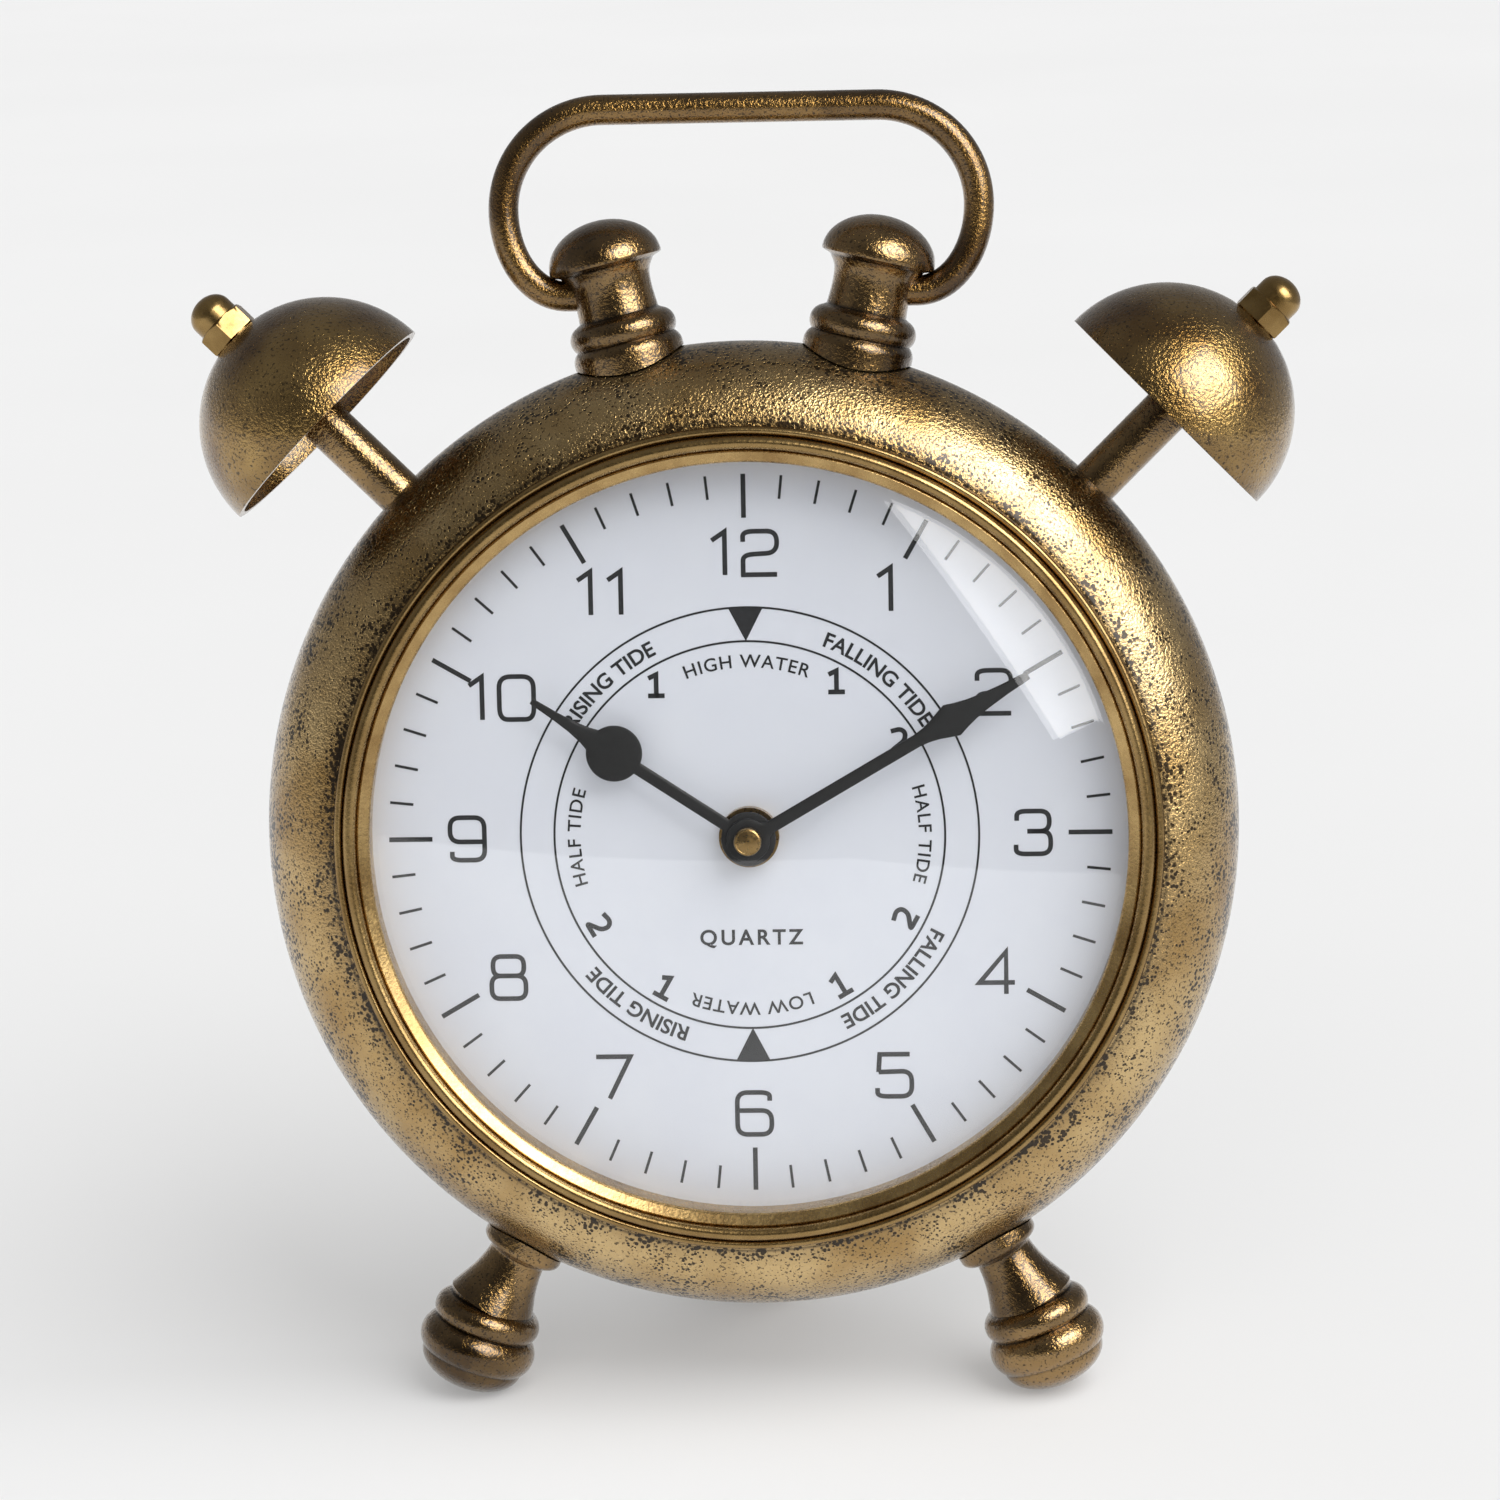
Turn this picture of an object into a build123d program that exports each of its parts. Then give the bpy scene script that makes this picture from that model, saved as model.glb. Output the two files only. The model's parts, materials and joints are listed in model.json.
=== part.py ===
"""Table tide clock with two bells, a swing handle and three turned feet."""
import math
import os
from build123d import *

# All sizes are millimetres. The head of the clock is drawn upright about the
# centre of its case, dial towards -Y, and is then leant back onto its feet.

# Case, a hollow cast ring
mouth_r = 79.0
mouth_step = 1.0
mouth_wall = 3.0
tube_r = 20.0
case_wall = 3.0
front_cut = 0.45
rear_cut = 0.4
seat_depth = 1.1
inner_seat_depth = 0.3
pocket_clear = 0.33
fit = 0.05
slip = 0.1
seam = 0.3

# Dial seat inside the case
dial_sink = 8.05
dial_t = 1.0
seat_flange_w = 6.0
seat_flange_t = 2.5

# Bezel, glass and the rings behind the glass
lip_w = 2.3
lip_h = 1.65
bezel_wall = 1.65
bezel_flange = 3.1
bead_h = 1.5
bead_step = 0.25
bead_groove = 0.2
thin_bead_w = 1.5
thin_bead_h = 0.7
thin_step = 0.3
edge_w = 0.15
edge_step = 0.2
glass_t = 1.8
glass_rise = 11.0
glass_rim_w = 1.9
gasket_t = 0.65
gasket_step = 0.35
gasket_in = 0.3
rehaut_back = 0.6

# Back cover
cover_step = 1.7
cover_t = 1.6
cover_ledge_w = 5.0
cover_ledge_t = 3.0
cover_window = 64.0
cover_window_r = 6.0
cover_screw_r = 1.25
cover_screw_head_r = 2.2
cover_screw_head_h = 1.4
cover_screw_len = 4.0
cover_screws = 4
slot_w = 0.6
slot_d = 0.6

# Handle posts
post_angle = 13.4
post_base_r = 11.1
post_groove_r = 10.0
post_bead_r = 10.75
post_neck_r = 7.9
post_cap_r = 11.4
post_base_h = 2.9
post_bead_h = 5.0
post_neck_h = 10.6
post_cap_h = 9.0
post_screw_r = 2.5
post_screw_grip = 7.0

# Handle
rod_r = 3.0
handle_low_w = 12.3
handle_low_h = 17.0
handle_top_w = 20.0
handle_top_h = 19.6
handle_neck_gap = 0.5
pivot_up = 4.4
pivot_clear = 0.05
pin_past = 0.16

# Bells
bell_angle = 45.4
bell_r = 25.5
bell_wall = 1.5
bell_lift = 19.6
bell_stem_r = 4.8
bell_nut_seat_r = 6.0
stud_r = 3.0
stud_play = 0.2
stud_grip = 6.5
acorn_flats = 10.0
acorn_hex_h = 4.9
acorn_dome_r = 4.6
acorn_h = 10.6
stem_nut_h = 5.0

# Feet
foot_angle = 29.4
rear_foot_tilt = 67.36
rear_neck_more = 8.0
foot_bend = 8.6
foot_collar_r = 8.5
foot_collar_h = 2.4
foot_neck_r = 6.0
foot_flare_r = 9.2
foot_neck_h = 12.2
foot_sink = 2.0
foot_bead_r = 11.1
foot_bead_h = 5.4
foot_groove_r = 10.2
foot_ball_r = 12.1
foot_ball_h = 7.0
foot_end_r = 10.6
foot_end_step = 0.2
foot_end_h = 6.0
foot_flat = 0.5
foot_screw_r = 3.0
foot_screw_grip = 9.0
screw_head_h = 3.2
screw_head_ratio = 1.7
spigot_r = 6.0

# Battery, size AA, and its room in the movement
cell_r = 7.2
cell_len = 49.0
cell_tip_r = 2.7
cell_tip_h = 1.2
cell_gap = 0.2
cell_drop = 0.7
contact_t = 0.5
contact_w = 7.6
spring_room = 2.9

# Quartz movement
move_corner_r = 5.0
move_wall = 1.2
move_plate = 1.4
move_split = 9.0
washer_t = 0.8
washer_r = 9.0
bush_wall = 1.38
bush_nut_wall = 2.0
bush_nut_h = 2.4
bay_wall_t = 1.0

# Motion work between the hands
arbor_gap = 6.0
cannon_teeth = 12
motion_teeth = 36
motion_pinion_teeth = 10
hour_teeth = 40
tooth_tip = 0.8
tooth_root = 1.15
wheel_t = 1.0
wheel_lift = 1.2
wheel_gap = 0.6
minute_arbor_r = 1.6
pipe_wall = 0.88
motion_arbor_r = 1.0
pivot_r = 0.6
tail_r = 0.8
play = 0.07
backlash = 0.05

# Hands
minute_tip_gap = 10.7
hour_short = 13.3
hour_angle = 303.5
hour_hub_r = 5.7
hour_shaft_w = 2.5
hour_disc_at = 31.6
hour_disc_r = 5.6
hour_tip_w = 1.2
hour_hand_rise = 4.5
minute_angle = 60.0
minute_hub_r = 4.35
minute_shaft_w = 2.6
lozenge_at = 46.9
lozenge_w = 6.9
lozenge_lead = 8.0
minute_tip_w = 1.6
hand_step = 1.4
hand_t = 0.6
collet_wall = 1.0
hour_collet_h = 1.0
minute_collet_h = 0.3
cap_r = 2.75
cap_h = 2.9

# Setting knob, coil and circuit board
knob_r = 5.5
knob_h = 4.0
knob_gap = 0.6
knob_flutes = 18
flute_r = 0.5
coil_r = 3.4
coil_gap = 3.4
coil_flange_t = 1.0
coil_flange_w = 0.6
stator_w = 3.0
stator_t = 1.0
stator_drop = 12.0
stator_gap = 1.3
stator_wall_gap = 0.8
board_w = 14.0
board_h = 28.0
board_t = 1.0
board_d = 8.0
board_gap = 1.8
board_lift = 2.4
peg_r = 1.5
crystal_r = 1.0
crystal_len = 6.0

# Case values that follow from the sizes above
ring_r = mouth_r - mouth_step
front_y = tube_r - front_cut
rear_y = tube_r - rear_cut
dial_y = front_y - dial_sink
dial_back = -dial_y + dial_t
inner_r = tube_r - case_wall
seat_h = tube_r - seat_depth
inner_seat = inner_r + inner_seat_depth
collar_r = mouth_r + mouth_wall
cover_r = mouth_r - cover_step
ledge_y = rear_y - cover_t

# Bezel and glass values
bore_r = mouth_r - fit - bezel_wall
bezel_lip_r = bore_r - lip_w
bezel_out_r = mouth_r + bezel_flange
glass_front = front_y + gasket_step - gasket_t
glass_back = glass_front - glass_t
glass_edge_r = bore_r - slip

# Bell and handle values, the pivot lies on the axis of the post
bell_rim_h = tube_r + bell_lift
lean_in = math.radians(post_angle)
pivot_out = ring_r + tube_r + post_base_h + post_bead_h + pivot_up
handle_pivot_z = pivot_out * math.cos(lean_in)
post_axis_x = pivot_out * math.sin(lean_in)
handle_pin_x = post_axis_x - pin_past
handle_lean_gap = rod_r * math.tan(lean_in) + handle_neck_gap
handle_end_x = post_axis_x + post_neck_r / math.cos(lean_in) + handle_lean_gap
handle_half_w = handle_end_x + handle_low_w
handle_top_z = handle_pivot_z + handle_low_h + handle_top_h

# Movement values, depths measured back from its front face
move_y = dial_back + washer_t
inside = (cell_len + cell_tip_h + contact_t + spring_room) / 2
move_w = 2 * (inside + move_wall)
move_depth = move_plate + 2 * cell_r + cell_gap
bay_wall_z = -inside + 2 * cell_r + seam + cell_drop
hour_wheel_d = move_plate + wheel_lift
motion_wheel_d = hour_wheel_d + wheel_t + wheel_gap
first_module = 2 * arbor_gap / (cannon_teeth + motion_teeth)
second_module = 2 * arbor_gap / (motion_pinion_teeth + hour_teeth)
hour_pipe_r = minute_arbor_r + play + pipe_wall
bush_r = hour_pipe_r + play + bush_wall
bush_nut_r = bush_r + bush_nut_wall
motion_tip_r = first_module * (motion_teeth / 2 + tooth_tip)
coil_len = inside - stator_wall_gap - motion_tip_r - stator_gap - 2 * stator_w
coil_x = -(motion_tip_r + stator_gap + stator_w + coil_len / 2)
coil_z = inside - coil_gap - coil_r
board_x = inside - board_gap - board_w / 2
board_z = bay_wall_z + bay_wall_t + board_lift + board_h / 2

# Hand values
minute_len = bezel_lip_r - minute_tip_gap
hour_len = minute_len - hour_short
hour_hand_y = dial_y + hour_hand_rise
minute_hand_y = hour_hand_y + hand_step
bush_out = hour_hand_rise - hour_collet_h - seam
pipe_front = -minute_hand_y + minute_collet_h + slip
cap_back = -minute_hand_y - hand_t


def tube_at(radius, y):
    return ring_r + math.sqrt(radius ** 2 - y ** 2)


def profile(start, *moves):
    edges = []
    here = start
    for move in moves:
        if len(move) == 1:
            edges.append(Line(here, move[0]))
        elif len(move) == 2:
            edges.append(ThreePointArc(here, move[0], move[1]))
        else:
            edges.append(Spline(here, *move))
        here = move[-1]
    if math.dist(here, start) > 1e-6:
        edges.append(Line(here, start))
    return make_face(edges)


def dome(radius, h0, rise):
    turns = [math.radians(t) for t in (22.5, 45, 67.5, 90)]
    return [(radius * math.cos(t), h0 + rise * math.sin(t)) for t in turns]


def spin(face):
    return revolve(face, Axis.Y)


def turned(face):
    return Rot(90, 0, 0) * revolve(face, Axis.Y)


def slab(sketch, y0, y1):
    return extrude(Plane.XZ.offset(-y1) * sketch, y1 - y0)


def rod(radius, y0, y1, x=0.0, z=0.0):
    return slab(Pos(x, z) * Circle(radius), y0, y1)


def upright(radius, h0, h1):
    return Pos(0, 0, h0) * Cylinder(radius, h1 - h0, align=(Align.CENTER, Align.CENTER, Align.MIN))


def mount(angle, tilt=0.0):
    return Rot(0, angle, 0) * Pos(0, 0, ring_r) * Rot(-tilt, 0, 0)


post_mounts = [mount(-post_angle), mount(post_angle)]
bell_mounts = [mount(-bell_angle), mount(bell_angle)]
foot_mounts = [mount(180 + foot_angle), mount(180 - foot_angle), mount(180, rear_foot_tilt)]


def tube_point(radius, degrees):
    turn = math.radians(degrees)
    return ring_r + radius * math.cos(turn), radius * math.sin(turn)


def tube_arc(radius, start, end):
    return [tube_point(radius, (start + end) / 2), tube_point(radius, end)]


def case_skin():
    radius = tube_r + seam
    face = profile(
        tube_point(radius, -90),
        tube_arc(radius, -90, 0),
        tube_arc(radius, 0, 90),
        [(ring_r - tube_r / 2, radius)],
        [(ring_r - tube_r / 2, -radius)],
    )
    return spin(face)


skin = case_skin()


def case_shell():
    pocket_y = math.sqrt(inner_r ** 2 - (collar_r - ring_r) ** 2)
    ledge_in = cover_r + slip - cover_ledge_w
    ledge_out = cover_r + slip + mouth_wall / 2
    ledge_arc_y = math.sqrt(inner_r ** 2 - (ledge_out - ring_r) ** 2)
    front_turn = -math.degrees(math.asin(front_y / tube_r))
    rear_turn = math.degrees(math.asin(rear_y / tube_r))
    ledge_turn = math.degrees(math.atan2(ledge_arc_y, ledge_out - ring_r))
    pocket_turn = -math.degrees(math.atan2(pocket_y, collar_r - ring_r))
    face = profile(
        (mouth_r, -front_y),
        [(tube_at(tube_r, front_y), -front_y)],
        tube_arc(tube_r, front_turn, 0),
        tube_arc(tube_r, 0, rear_turn),
        [(cover_r + slip, rear_y)],
        [(cover_r + slip, ledge_y)],
        [(ledge_in, ledge_y)],
        [(ledge_in, ledge_y - cover_ledge_t)],
        [(ledge_out, ledge_y - cover_ledge_t)],
        [(ledge_out, ledge_arc_y)],
        tube_arc(inner_r, ledge_turn, 0),
        tube_arc(inner_r, 0, pocket_turn),
        [(collar_r, dial_back + seat_flange_t)],
        [(mouth_r - seat_flange_w, dial_back + seat_flange_t)],
        [(mouth_r - seat_flange_w, dial_back)],
        [(mouth_r, dial_back)],
    )
    shell = spin(face)
    for place in post_mounts:
        shell -= place * mount_cut(spigot_r, post_screw_r, head_r(post_screw_r))
    for place in bell_mounts:
        shell -= place * mount_cut(bell_stem_r, stud_r, acorn_flats / math.sqrt(3))
    for place in foot_mounts:
        shell -= place * mount_cut(spigot_r, foot_screw_r, head_r(foot_screw_r))
    for x, z in cover_screw_spots():
        shell -= rod(cover_screw_r + fit, ledge_y - cover_ledge_t, ledge_y, x, z)
    return shell


def head_r(screw_r):
    return screw_r * screw_head_ratio


def mount_cut(spot_r, screw_r, fastener_r):
    spot = upright(spot_r + slip, seat_h, tube_r + case_wall)
    pocket = upright(fastener_r + pocket_clear, inner_r - 2 * case_wall, inner_seat)
    return spot + pocket + upright(screw_r + slip, inner_r, seat_h + seat_depth)


def cover_screw_spots():
    radius = cover_r - cover_ledge_w / 2
    turns = [math.radians(45 + 360 * n / cover_screws) for n in range(cover_screws)]
    return [(radius * math.cos(t), radius * math.sin(t)) for t in turns]


def bezel_ring():
    lip_y = -front_y - gasket_step
    top_y = lip_y - lip_h
    bead_y = top_y + bead_step
    thin_y = bead_y + thin_step
    thin_out = bezel_out_r - edge_w
    thin_in = thin_out - thin_bead_w
    bead_in = bore_r + bead_step
    bead_out = thin_in - bead_groove
    face = profile(
        (bezel_lip_r, lip_y),
        [(bore_r, top_y)],
        [(bead_in, bead_y)],
        [((bead_in + bead_out) / 2, bead_y - bead_h), (bead_out, bead_y)],
        [(thin_in, thin_y)],
        [((thin_in + thin_out) / 2, thin_y - thin_bead_h), (thin_out, thin_y)],
        [(bezel_out_r, thin_y + edge_step)],
        [(bezel_out_r, -front_y)],
        [(mouth_r - fit, -front_y)],
        [(mouth_r - fit, -dial_y)],
        [(bore_r, -dial_y)],
        [(bore_r, lip_y)],
    )
    return spin(face)


def lens_glass():
    dome_r = glass_edge_r - glass_rim_w
    back_r = dome_r - glass_t / 2
    face = profile(
        (0, -glass_back - glass_rise),
        [glass_middle(back_r, glass_back), (back_r, -glass_back)],
        [(glass_edge_r, -glass_back)],
        [(glass_edge_r, -glass_front)],
        [(dome_r, -glass_front)],
        [glass_middle(dome_r, glass_front), (0, -glass_front - glass_rise)],
    )
    return spin(face)


def glass_middle(rim_r, y):
    curve = (rim_r ** 2 + glass_rise ** 2) / (2 * glass_rise)
    return rim_r / 2, curve - math.sqrt(curve ** 2 - rim_r ** 2 / 4) - y - glass_rise


def flat_ring(r_in, r_out, y0, y1):
    return rod(r_out, y0, y1) - rod(r_in, y0, y1)


def lens_gasket():
    r_in = glass_edge_r - glass_rim_w + gasket_in
    return flat_ring(r_in, glass_edge_r, -glass_front - gasket_t, -glass_front)


def dial_plate():
    return rod(mouth_r - seam, -dial_y, dial_back) - rod(bush_r + slip, -dial_y, dial_back)


def back_cover():
    plate = rod(cover_r, ledge_y, rear_y)
    plate -= slab(RectangleRounded(cover_window, cover_window, cover_window_r), ledge_y, rear_y)
    for x, z in cover_screw_spots():
        plate -= rod(cover_screw_r + slip, ledge_y, rear_y, x, z)
    return plate


def back_cover_screws():
    group = []
    for x, z in cover_screw_spots():
        head = rod(cover_screw_head_r, rear_y, rear_y + cover_screw_head_h, x, z)
        slot = Pos(x, rear_y + cover_screw_head_h, z) * Box(slot_w, 2 * slot_d, 2 * cover_screw_head_r)
        group.append(head - slot + rod(cover_screw_r, rear_y - cover_screw_len, rear_y, x, z))
    return group


def handle_post(place, side):
    h1 = tube_r + post_base_h
    h2 = h1 + post_bead_h
    h3 = h2 + post_neck_h
    h4 = h3 + post_cap_h
    face = profile(
        (0, inner_r),
        [(post_base_r, inner_r)],
        [(post_base_r, tube_r + 0.4)],
        [(post_base_r - 0.25, (tube_r + h1) / 2 + 0.3), (post_groove_r, h1)],
        [(post_bead_r, (h1 + h2) / 2), (post_neck_r + 0.9, h2)],
        [(post_neck_r + 0.2, h2 + 0.4)],
        post_waist(h2, h3),
        [(post_cap_r - 0.5, h3)],
        [(post_cap_r, h3 + 0.6)],
        dome(post_cap_r, h3 + 0.6, h4 - h3 - 0.6),
    )
    post = place * turned(face) - skin
    post += place * upright(spigot_r, seat_h, tube_r + 4)
    post -= place * upright(post_screw_r + fit, seat_h, seat_h + post_screw_grip)
    reach = handle_half_w - handle_pin_x
    bore = Rot(0, 90, 0) * Cylinder(rod_r + pivot_clear, reach)
    return post - Pos(side * (handle_pin_x - seam + reach / 2), 0, handle_pivot_z) * bore


def post_waist(h2, h3):
    low = (post_neck_r + 0.05, h2 + 2.6)
    middle = (post_neck_r, (h2 + h3) / 2)
    high = (post_neck_r + 0.35, h3 - 2.6)
    return [low, middle, high, (post_neck_r + 1.6, h3 - 0.5)]


def wall_screw(place, radius, grip):
    head = upright(head_r(radius), inner_seat - screw_head_h, inner_seat)
    socket = Pos(0, 0, inner_seat - screw_head_h) * extrude(RegularPolygon(radius, 6), screw_head_h / 2)
    return place * (head - socket + upright(radius, inner_seat, seat_h + grip - 1))


def handle_bend(centre, wide, tall, start):
    turns = [math.radians(start + step) for step in (0, 30, 60, 90)]
    points = [(centre[0] + wide * math.cos(t), 0, centre[1] + tall * math.sin(t)) for t in turns]
    ways = [(-math.sin(t), 0, math.cos(t)) for t in (turns[0], turns[-1])]
    return Spline(*points, tangents=ways)


def handle_loop():
    z0 = handle_pivot_z
    z1 = z0 + handle_low_h
    top_x = handle_half_w - handle_top_w
    path = Wire([
        Line((handle_pin_x, 0, z0), (handle_end_x, 0, z0)),
        handle_bend((handle_end_x, z1), handle_low_w, handle_low_h, -90),
        handle_bend((top_x, z1), handle_top_w, handle_top_h, 0),
        Line((top_x, 0, handle_top_z), (0, 0, handle_top_z)),
    ])
    section = Plane((handle_pin_x, 0, z0), z_dir=(1, 0, 0)) * Circle(rod_r)
    arm = sweep(section, path=path)
    return arm + mirror(arm, Plane.YZ)


def bell(place):
    inner = bell_r - bell_wall
    seat_in = math.sqrt(inner ** 2 - (bell_stem_r + slip) ** 2)
    seat_out = math.sqrt(bell_r ** 2 - bell_nut_seat_r ** 2)
    hole = stud_r + stud_play
    diag = math.sqrt(0.5)
    face = profile(
        (inner, 0),
        [(bell_r, 0)],
        [(bell_r * diag, bell_r * diag), (bell_nut_seat_r, seat_out)],
        [(hole, seat_out)],
        [(hole, seat_in)],
        [(bell_stem_r + slip, seat_in)],
        [(inner * diag, inner * diag), (inner, 0)],
    )
    return place * Pos(0, 0, bell_rim_h) * turned(face)


def bell_shoulder():
    return bell_rim_h + math.sqrt((bell_r - bell_wall) ** 2 - (bell_stem_r + slip) ** 2)


def bell_nut_seat():
    return bell_rim_h + math.sqrt(bell_r ** 2 - bell_nut_seat_r ** 2)


def bell_stem(place):
    stem = upright(bell_stem_r, seat_h, bell_shoulder())
    stem += upright(stud_r, inner_seat - stem_nut_h, seat_h)
    return place * (stem + upright(stud_r, bell_shoulder(), bell_nut_seat() + stud_grip))


def acorn_nut(place):
    hexagon = extrude(RegularPolygon(acorn_flats / math.sqrt(3), 6), acorn_hex_h)
    dome_h = acorn_h - acorn_hex_h
    straight = acorn_hex_h + dome_h * 0.35
    face = profile(
        (0, acorn_hex_h),
        [(acorn_dome_r, acorn_hex_h)],
        [(acorn_dome_r, straight)],
        dome(acorn_dome_r, straight, acorn_h - straight),
    )
    nut = hexagon + turned(face)
    nut -= upright(stud_r + fit, 0, stud_grip + 0.5)
    return place * Pos(0, 0, bell_nut_seat()) * nut


def stem_nut(place):
    nut = extrude(RegularPolygon(acorn_flats / math.sqrt(3), 6), stem_nut_h)
    nut -= upright(stud_r + fit, 0, stem_nut_h)
    return place * Pos(0, 0, inner_seat - stem_nut_h) * nut


def foot_stem(more):
    h1 = tube_r + foot_collar_h
    h2 = h1 + foot_neck_h + more
    face = profile(
        (0, inner_r),
        [(foot_collar_r, inner_r)],
        [(foot_collar_r, h1 - 1.2)],
        [(foot_collar_r - 0.3, h1 - 0.5), (foot_collar_r - 0.9, h1)],
        [(foot_neck_r + 0.5, h1 + 0.5)],
        [(foot_neck_r, h1 + 1.4), (foot_neck_r + 0.9, h1 + 6.2 + more / 2), (foot_flare_r, h2)],
        [(foot_flare_r, h2 + foot_sink)],
        [(0, h2 + foot_sink)],
    )
    return turned(face)


def foot_knob():
    k1 = foot_bead_h
    k2 = k1 + foot_ball_h
    face = profile(
        (0, 0),
        [(foot_flare_r - 0.4, 0)],
        [(foot_bead_r, k1 * 0.52), (foot_groove_r, k1)],
        [(foot_ball_r, k1 + foot_ball_h * 0.5), (foot_end_r + foot_end_step, k2)],
        [(foot_end_r, k2 + foot_end_step)],
        dome(foot_end_r, k2 + foot_end_step, foot_end_h),
    )
    return turned(face)


def foot(place, bend, more):
    knob_h0 = tube_r + foot_collar_h + foot_neck_h + more
    body = foot_stem(more) + Pos(0, 0, knob_h0) * Rot(0, bend, 0) * foot_knob()
    body = place * body - skin
    body += place * upright(spigot_r, seat_h, tube_r + foot_collar_h / 2)
    return body - place * upright(foot_screw_r + fit, seat_h, seat_h + foot_screw_grip)


def foot_drop(axis_down):
    across = math.sqrt(max(0.0, 1 - axis_down ** 2))
    return math.hypot(foot_end_h * axis_down, foot_end_r * across)


def foot_reach(lean):
    neck_end = tube_r + foot_collar_h + foot_neck_h
    knob = foot_bead_h + foot_ball_h + foot_end_step
    tilt = math.radians(rear_foot_tilt)
    spread = math.cos(math.radians(foot_angle))
    bent = math.cos(math.radians(foot_angle - foot_bend))
    front = ((ring_r + neck_end) * spread + knob * bent) * math.cos(lean)
    rear_axis = neck_end + rear_neck_more + knob
    rear_z = ring_r + rear_axis * math.cos(tilt)
    rear = rear_z * math.cos(lean) + rear_axis * math.sin(tilt) * math.sin(lean)
    return front + foot_drop(bent * math.cos(lean)), rear + foot_drop(math.cos(tilt - lean))


def find_lean():
    low = -0.4
    high = 0.6
    for _ in range(60):
        middle = (low + high) / 2
        front, rear = foot_reach(middle)
        if rear < front:
            low = middle
        else:
            high = middle
    return low


def gear(teeth, module, phase):
    pressure = math.radians(25)
    pitch = teeth * module / 2
    base = pitch * math.cos(pressure)
    tip = pitch + tooth_tip * module
    root = pitch - tooth_root * module
    half_tooth = math.pi / (2 * teeth) - backlash / (2 * pitch)
    involute = math.tan(pressure) - pressure
    flank = []
    start = max(base, root)
    for n in range(5):
        radius = start + (tip - start) * n / 4
        turn = math.acos(min(1.0, base / radius))
        flank.append((radius, half_tooth + involute - math.tan(turn) + turn))
    points = []
    for n in range(teeth):
        middle = phase + 2 * math.pi * n / teeth
        points.append((root, middle - flank[0][1] - 0.02))
        points.extend((radius, middle - turn) for radius, turn in flank)
        points.extend((radius, middle + turn) for radius, turn in reversed(flank))
        points.append((root, middle + flank[0][1] + 0.02))
    corners = [(r * math.sin(a), r * math.cos(a)) for r, a in points]
    return make_face(Polyline(*corners, close=True))


def depth(d):
    return move_y + d


def hour_wheel():
    gap_up = math.pi / hour_teeth
    wheel = slab(gear(hour_teeth, second_module, gap_up), depth(hour_wheel_d), depth(hour_wheel_d + wheel_t))
    pipe = rod(hour_pipe_r, pipe_front, depth(hour_wheel_d + wheel_t))
    return wheel + pipe - rod(minute_arbor_r + play, pipe_front, depth(hour_wheel_d + wheel_t))


def minute_arbor():
    pinion = slab(gear(cannon_teeth, first_module, 0), depth(motion_wheel_d), depth(motion_wheel_d + wheel_t))
    front = rod(minute_arbor_r, cap_back - cap_h * 0.7, depth(motion_wheel_d))
    tail = rod(tail_r, depth(motion_wheel_d + wheel_t), depth(move_depth - move_plate - play))
    return pinion + front + tail


def motion_wheel():
    gap_down = math.pi + math.pi / motion_teeth
    wheel_face = gear(motion_teeth, first_module, gap_down)
    wheel = slab(wheel_face, depth(motion_wheel_d), depth(motion_wheel_d + wheel_t))
    pinion_face = gear(motion_pinion_teeth, second_module, math.pi)
    pinion = slab(pinion_face, depth(hour_wheel_d), depth(hour_wheel_d + wheel_t))
    neck = rod(motion_arbor_r * 0.85, depth(hour_wheel_d + wheel_t), depth(motion_wheel_d))
    pivot = rod(pivot_r, depth(move_plate / 2), depth(hour_wheel_d))
    shaft = rod(motion_arbor_r, depth(motion_wheel_d + wheel_t), depth(move_depth + knob_gap + knob_h * 0.75))
    return Pos(0, 0, arbor_gap) * (wheel + pinion + neck + pivot + shaft)


def setting_knob():
    back = depth(move_depth + knob_gap + knob_h)
    front = depth(move_depth + knob_gap)
    knob = rod(knob_r, front, back)
    for n in range(knob_flutes):
        turn = 2 * math.pi * n / knob_flutes
        knob -= rod(flute_r, front, back, knob_r * math.cos(turn), knob_r * math.sin(turn))
    knob -= rod(motion_arbor_r, front, back - knob_h * 0.25)
    return Pos(0, 0, arbor_gap) * knob


def hand_collet(bore, y0, y1):
    return flat_ring(bore, bore + collet_wall, y0, y1)


def hour_hand():
    taper = hour_disc_at + hour_disc_r * 0.9
    half_w = hour_disc_r * 0.42
    middle = (taper * 2 + hour_len) / 3
    tip = profile(
        (-half_w, taper),
        [(half_w, taper)],
        [(half_w * 0.48, middle), (hour_tip_w / 2, hour_len)],
        [(-hour_tip_w / 2, hour_len)],
        [(-half_w * 0.48, middle), (-half_w, taper)],
    )
    shape = Circle(hour_hub_r) + Pos(0, hour_disc_at) * Circle(hour_disc_r) + tip
    shape += Pos(0, hour_disc_at / 2) * Rectangle(hour_shaft_w, hour_disc_at)
    blade = slab(shape, -hour_hand_y - hand_t, -hour_hand_y)
    blade -= rod(hour_pipe_r, -hour_hand_y - hand_t, -hour_hand_y)
    collet = hand_collet(hour_pipe_r, -hour_hand_y, -hour_hand_y + hour_collet_h)
    return Rot(0, hour_angle, 0) * (blade + collet)


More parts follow.
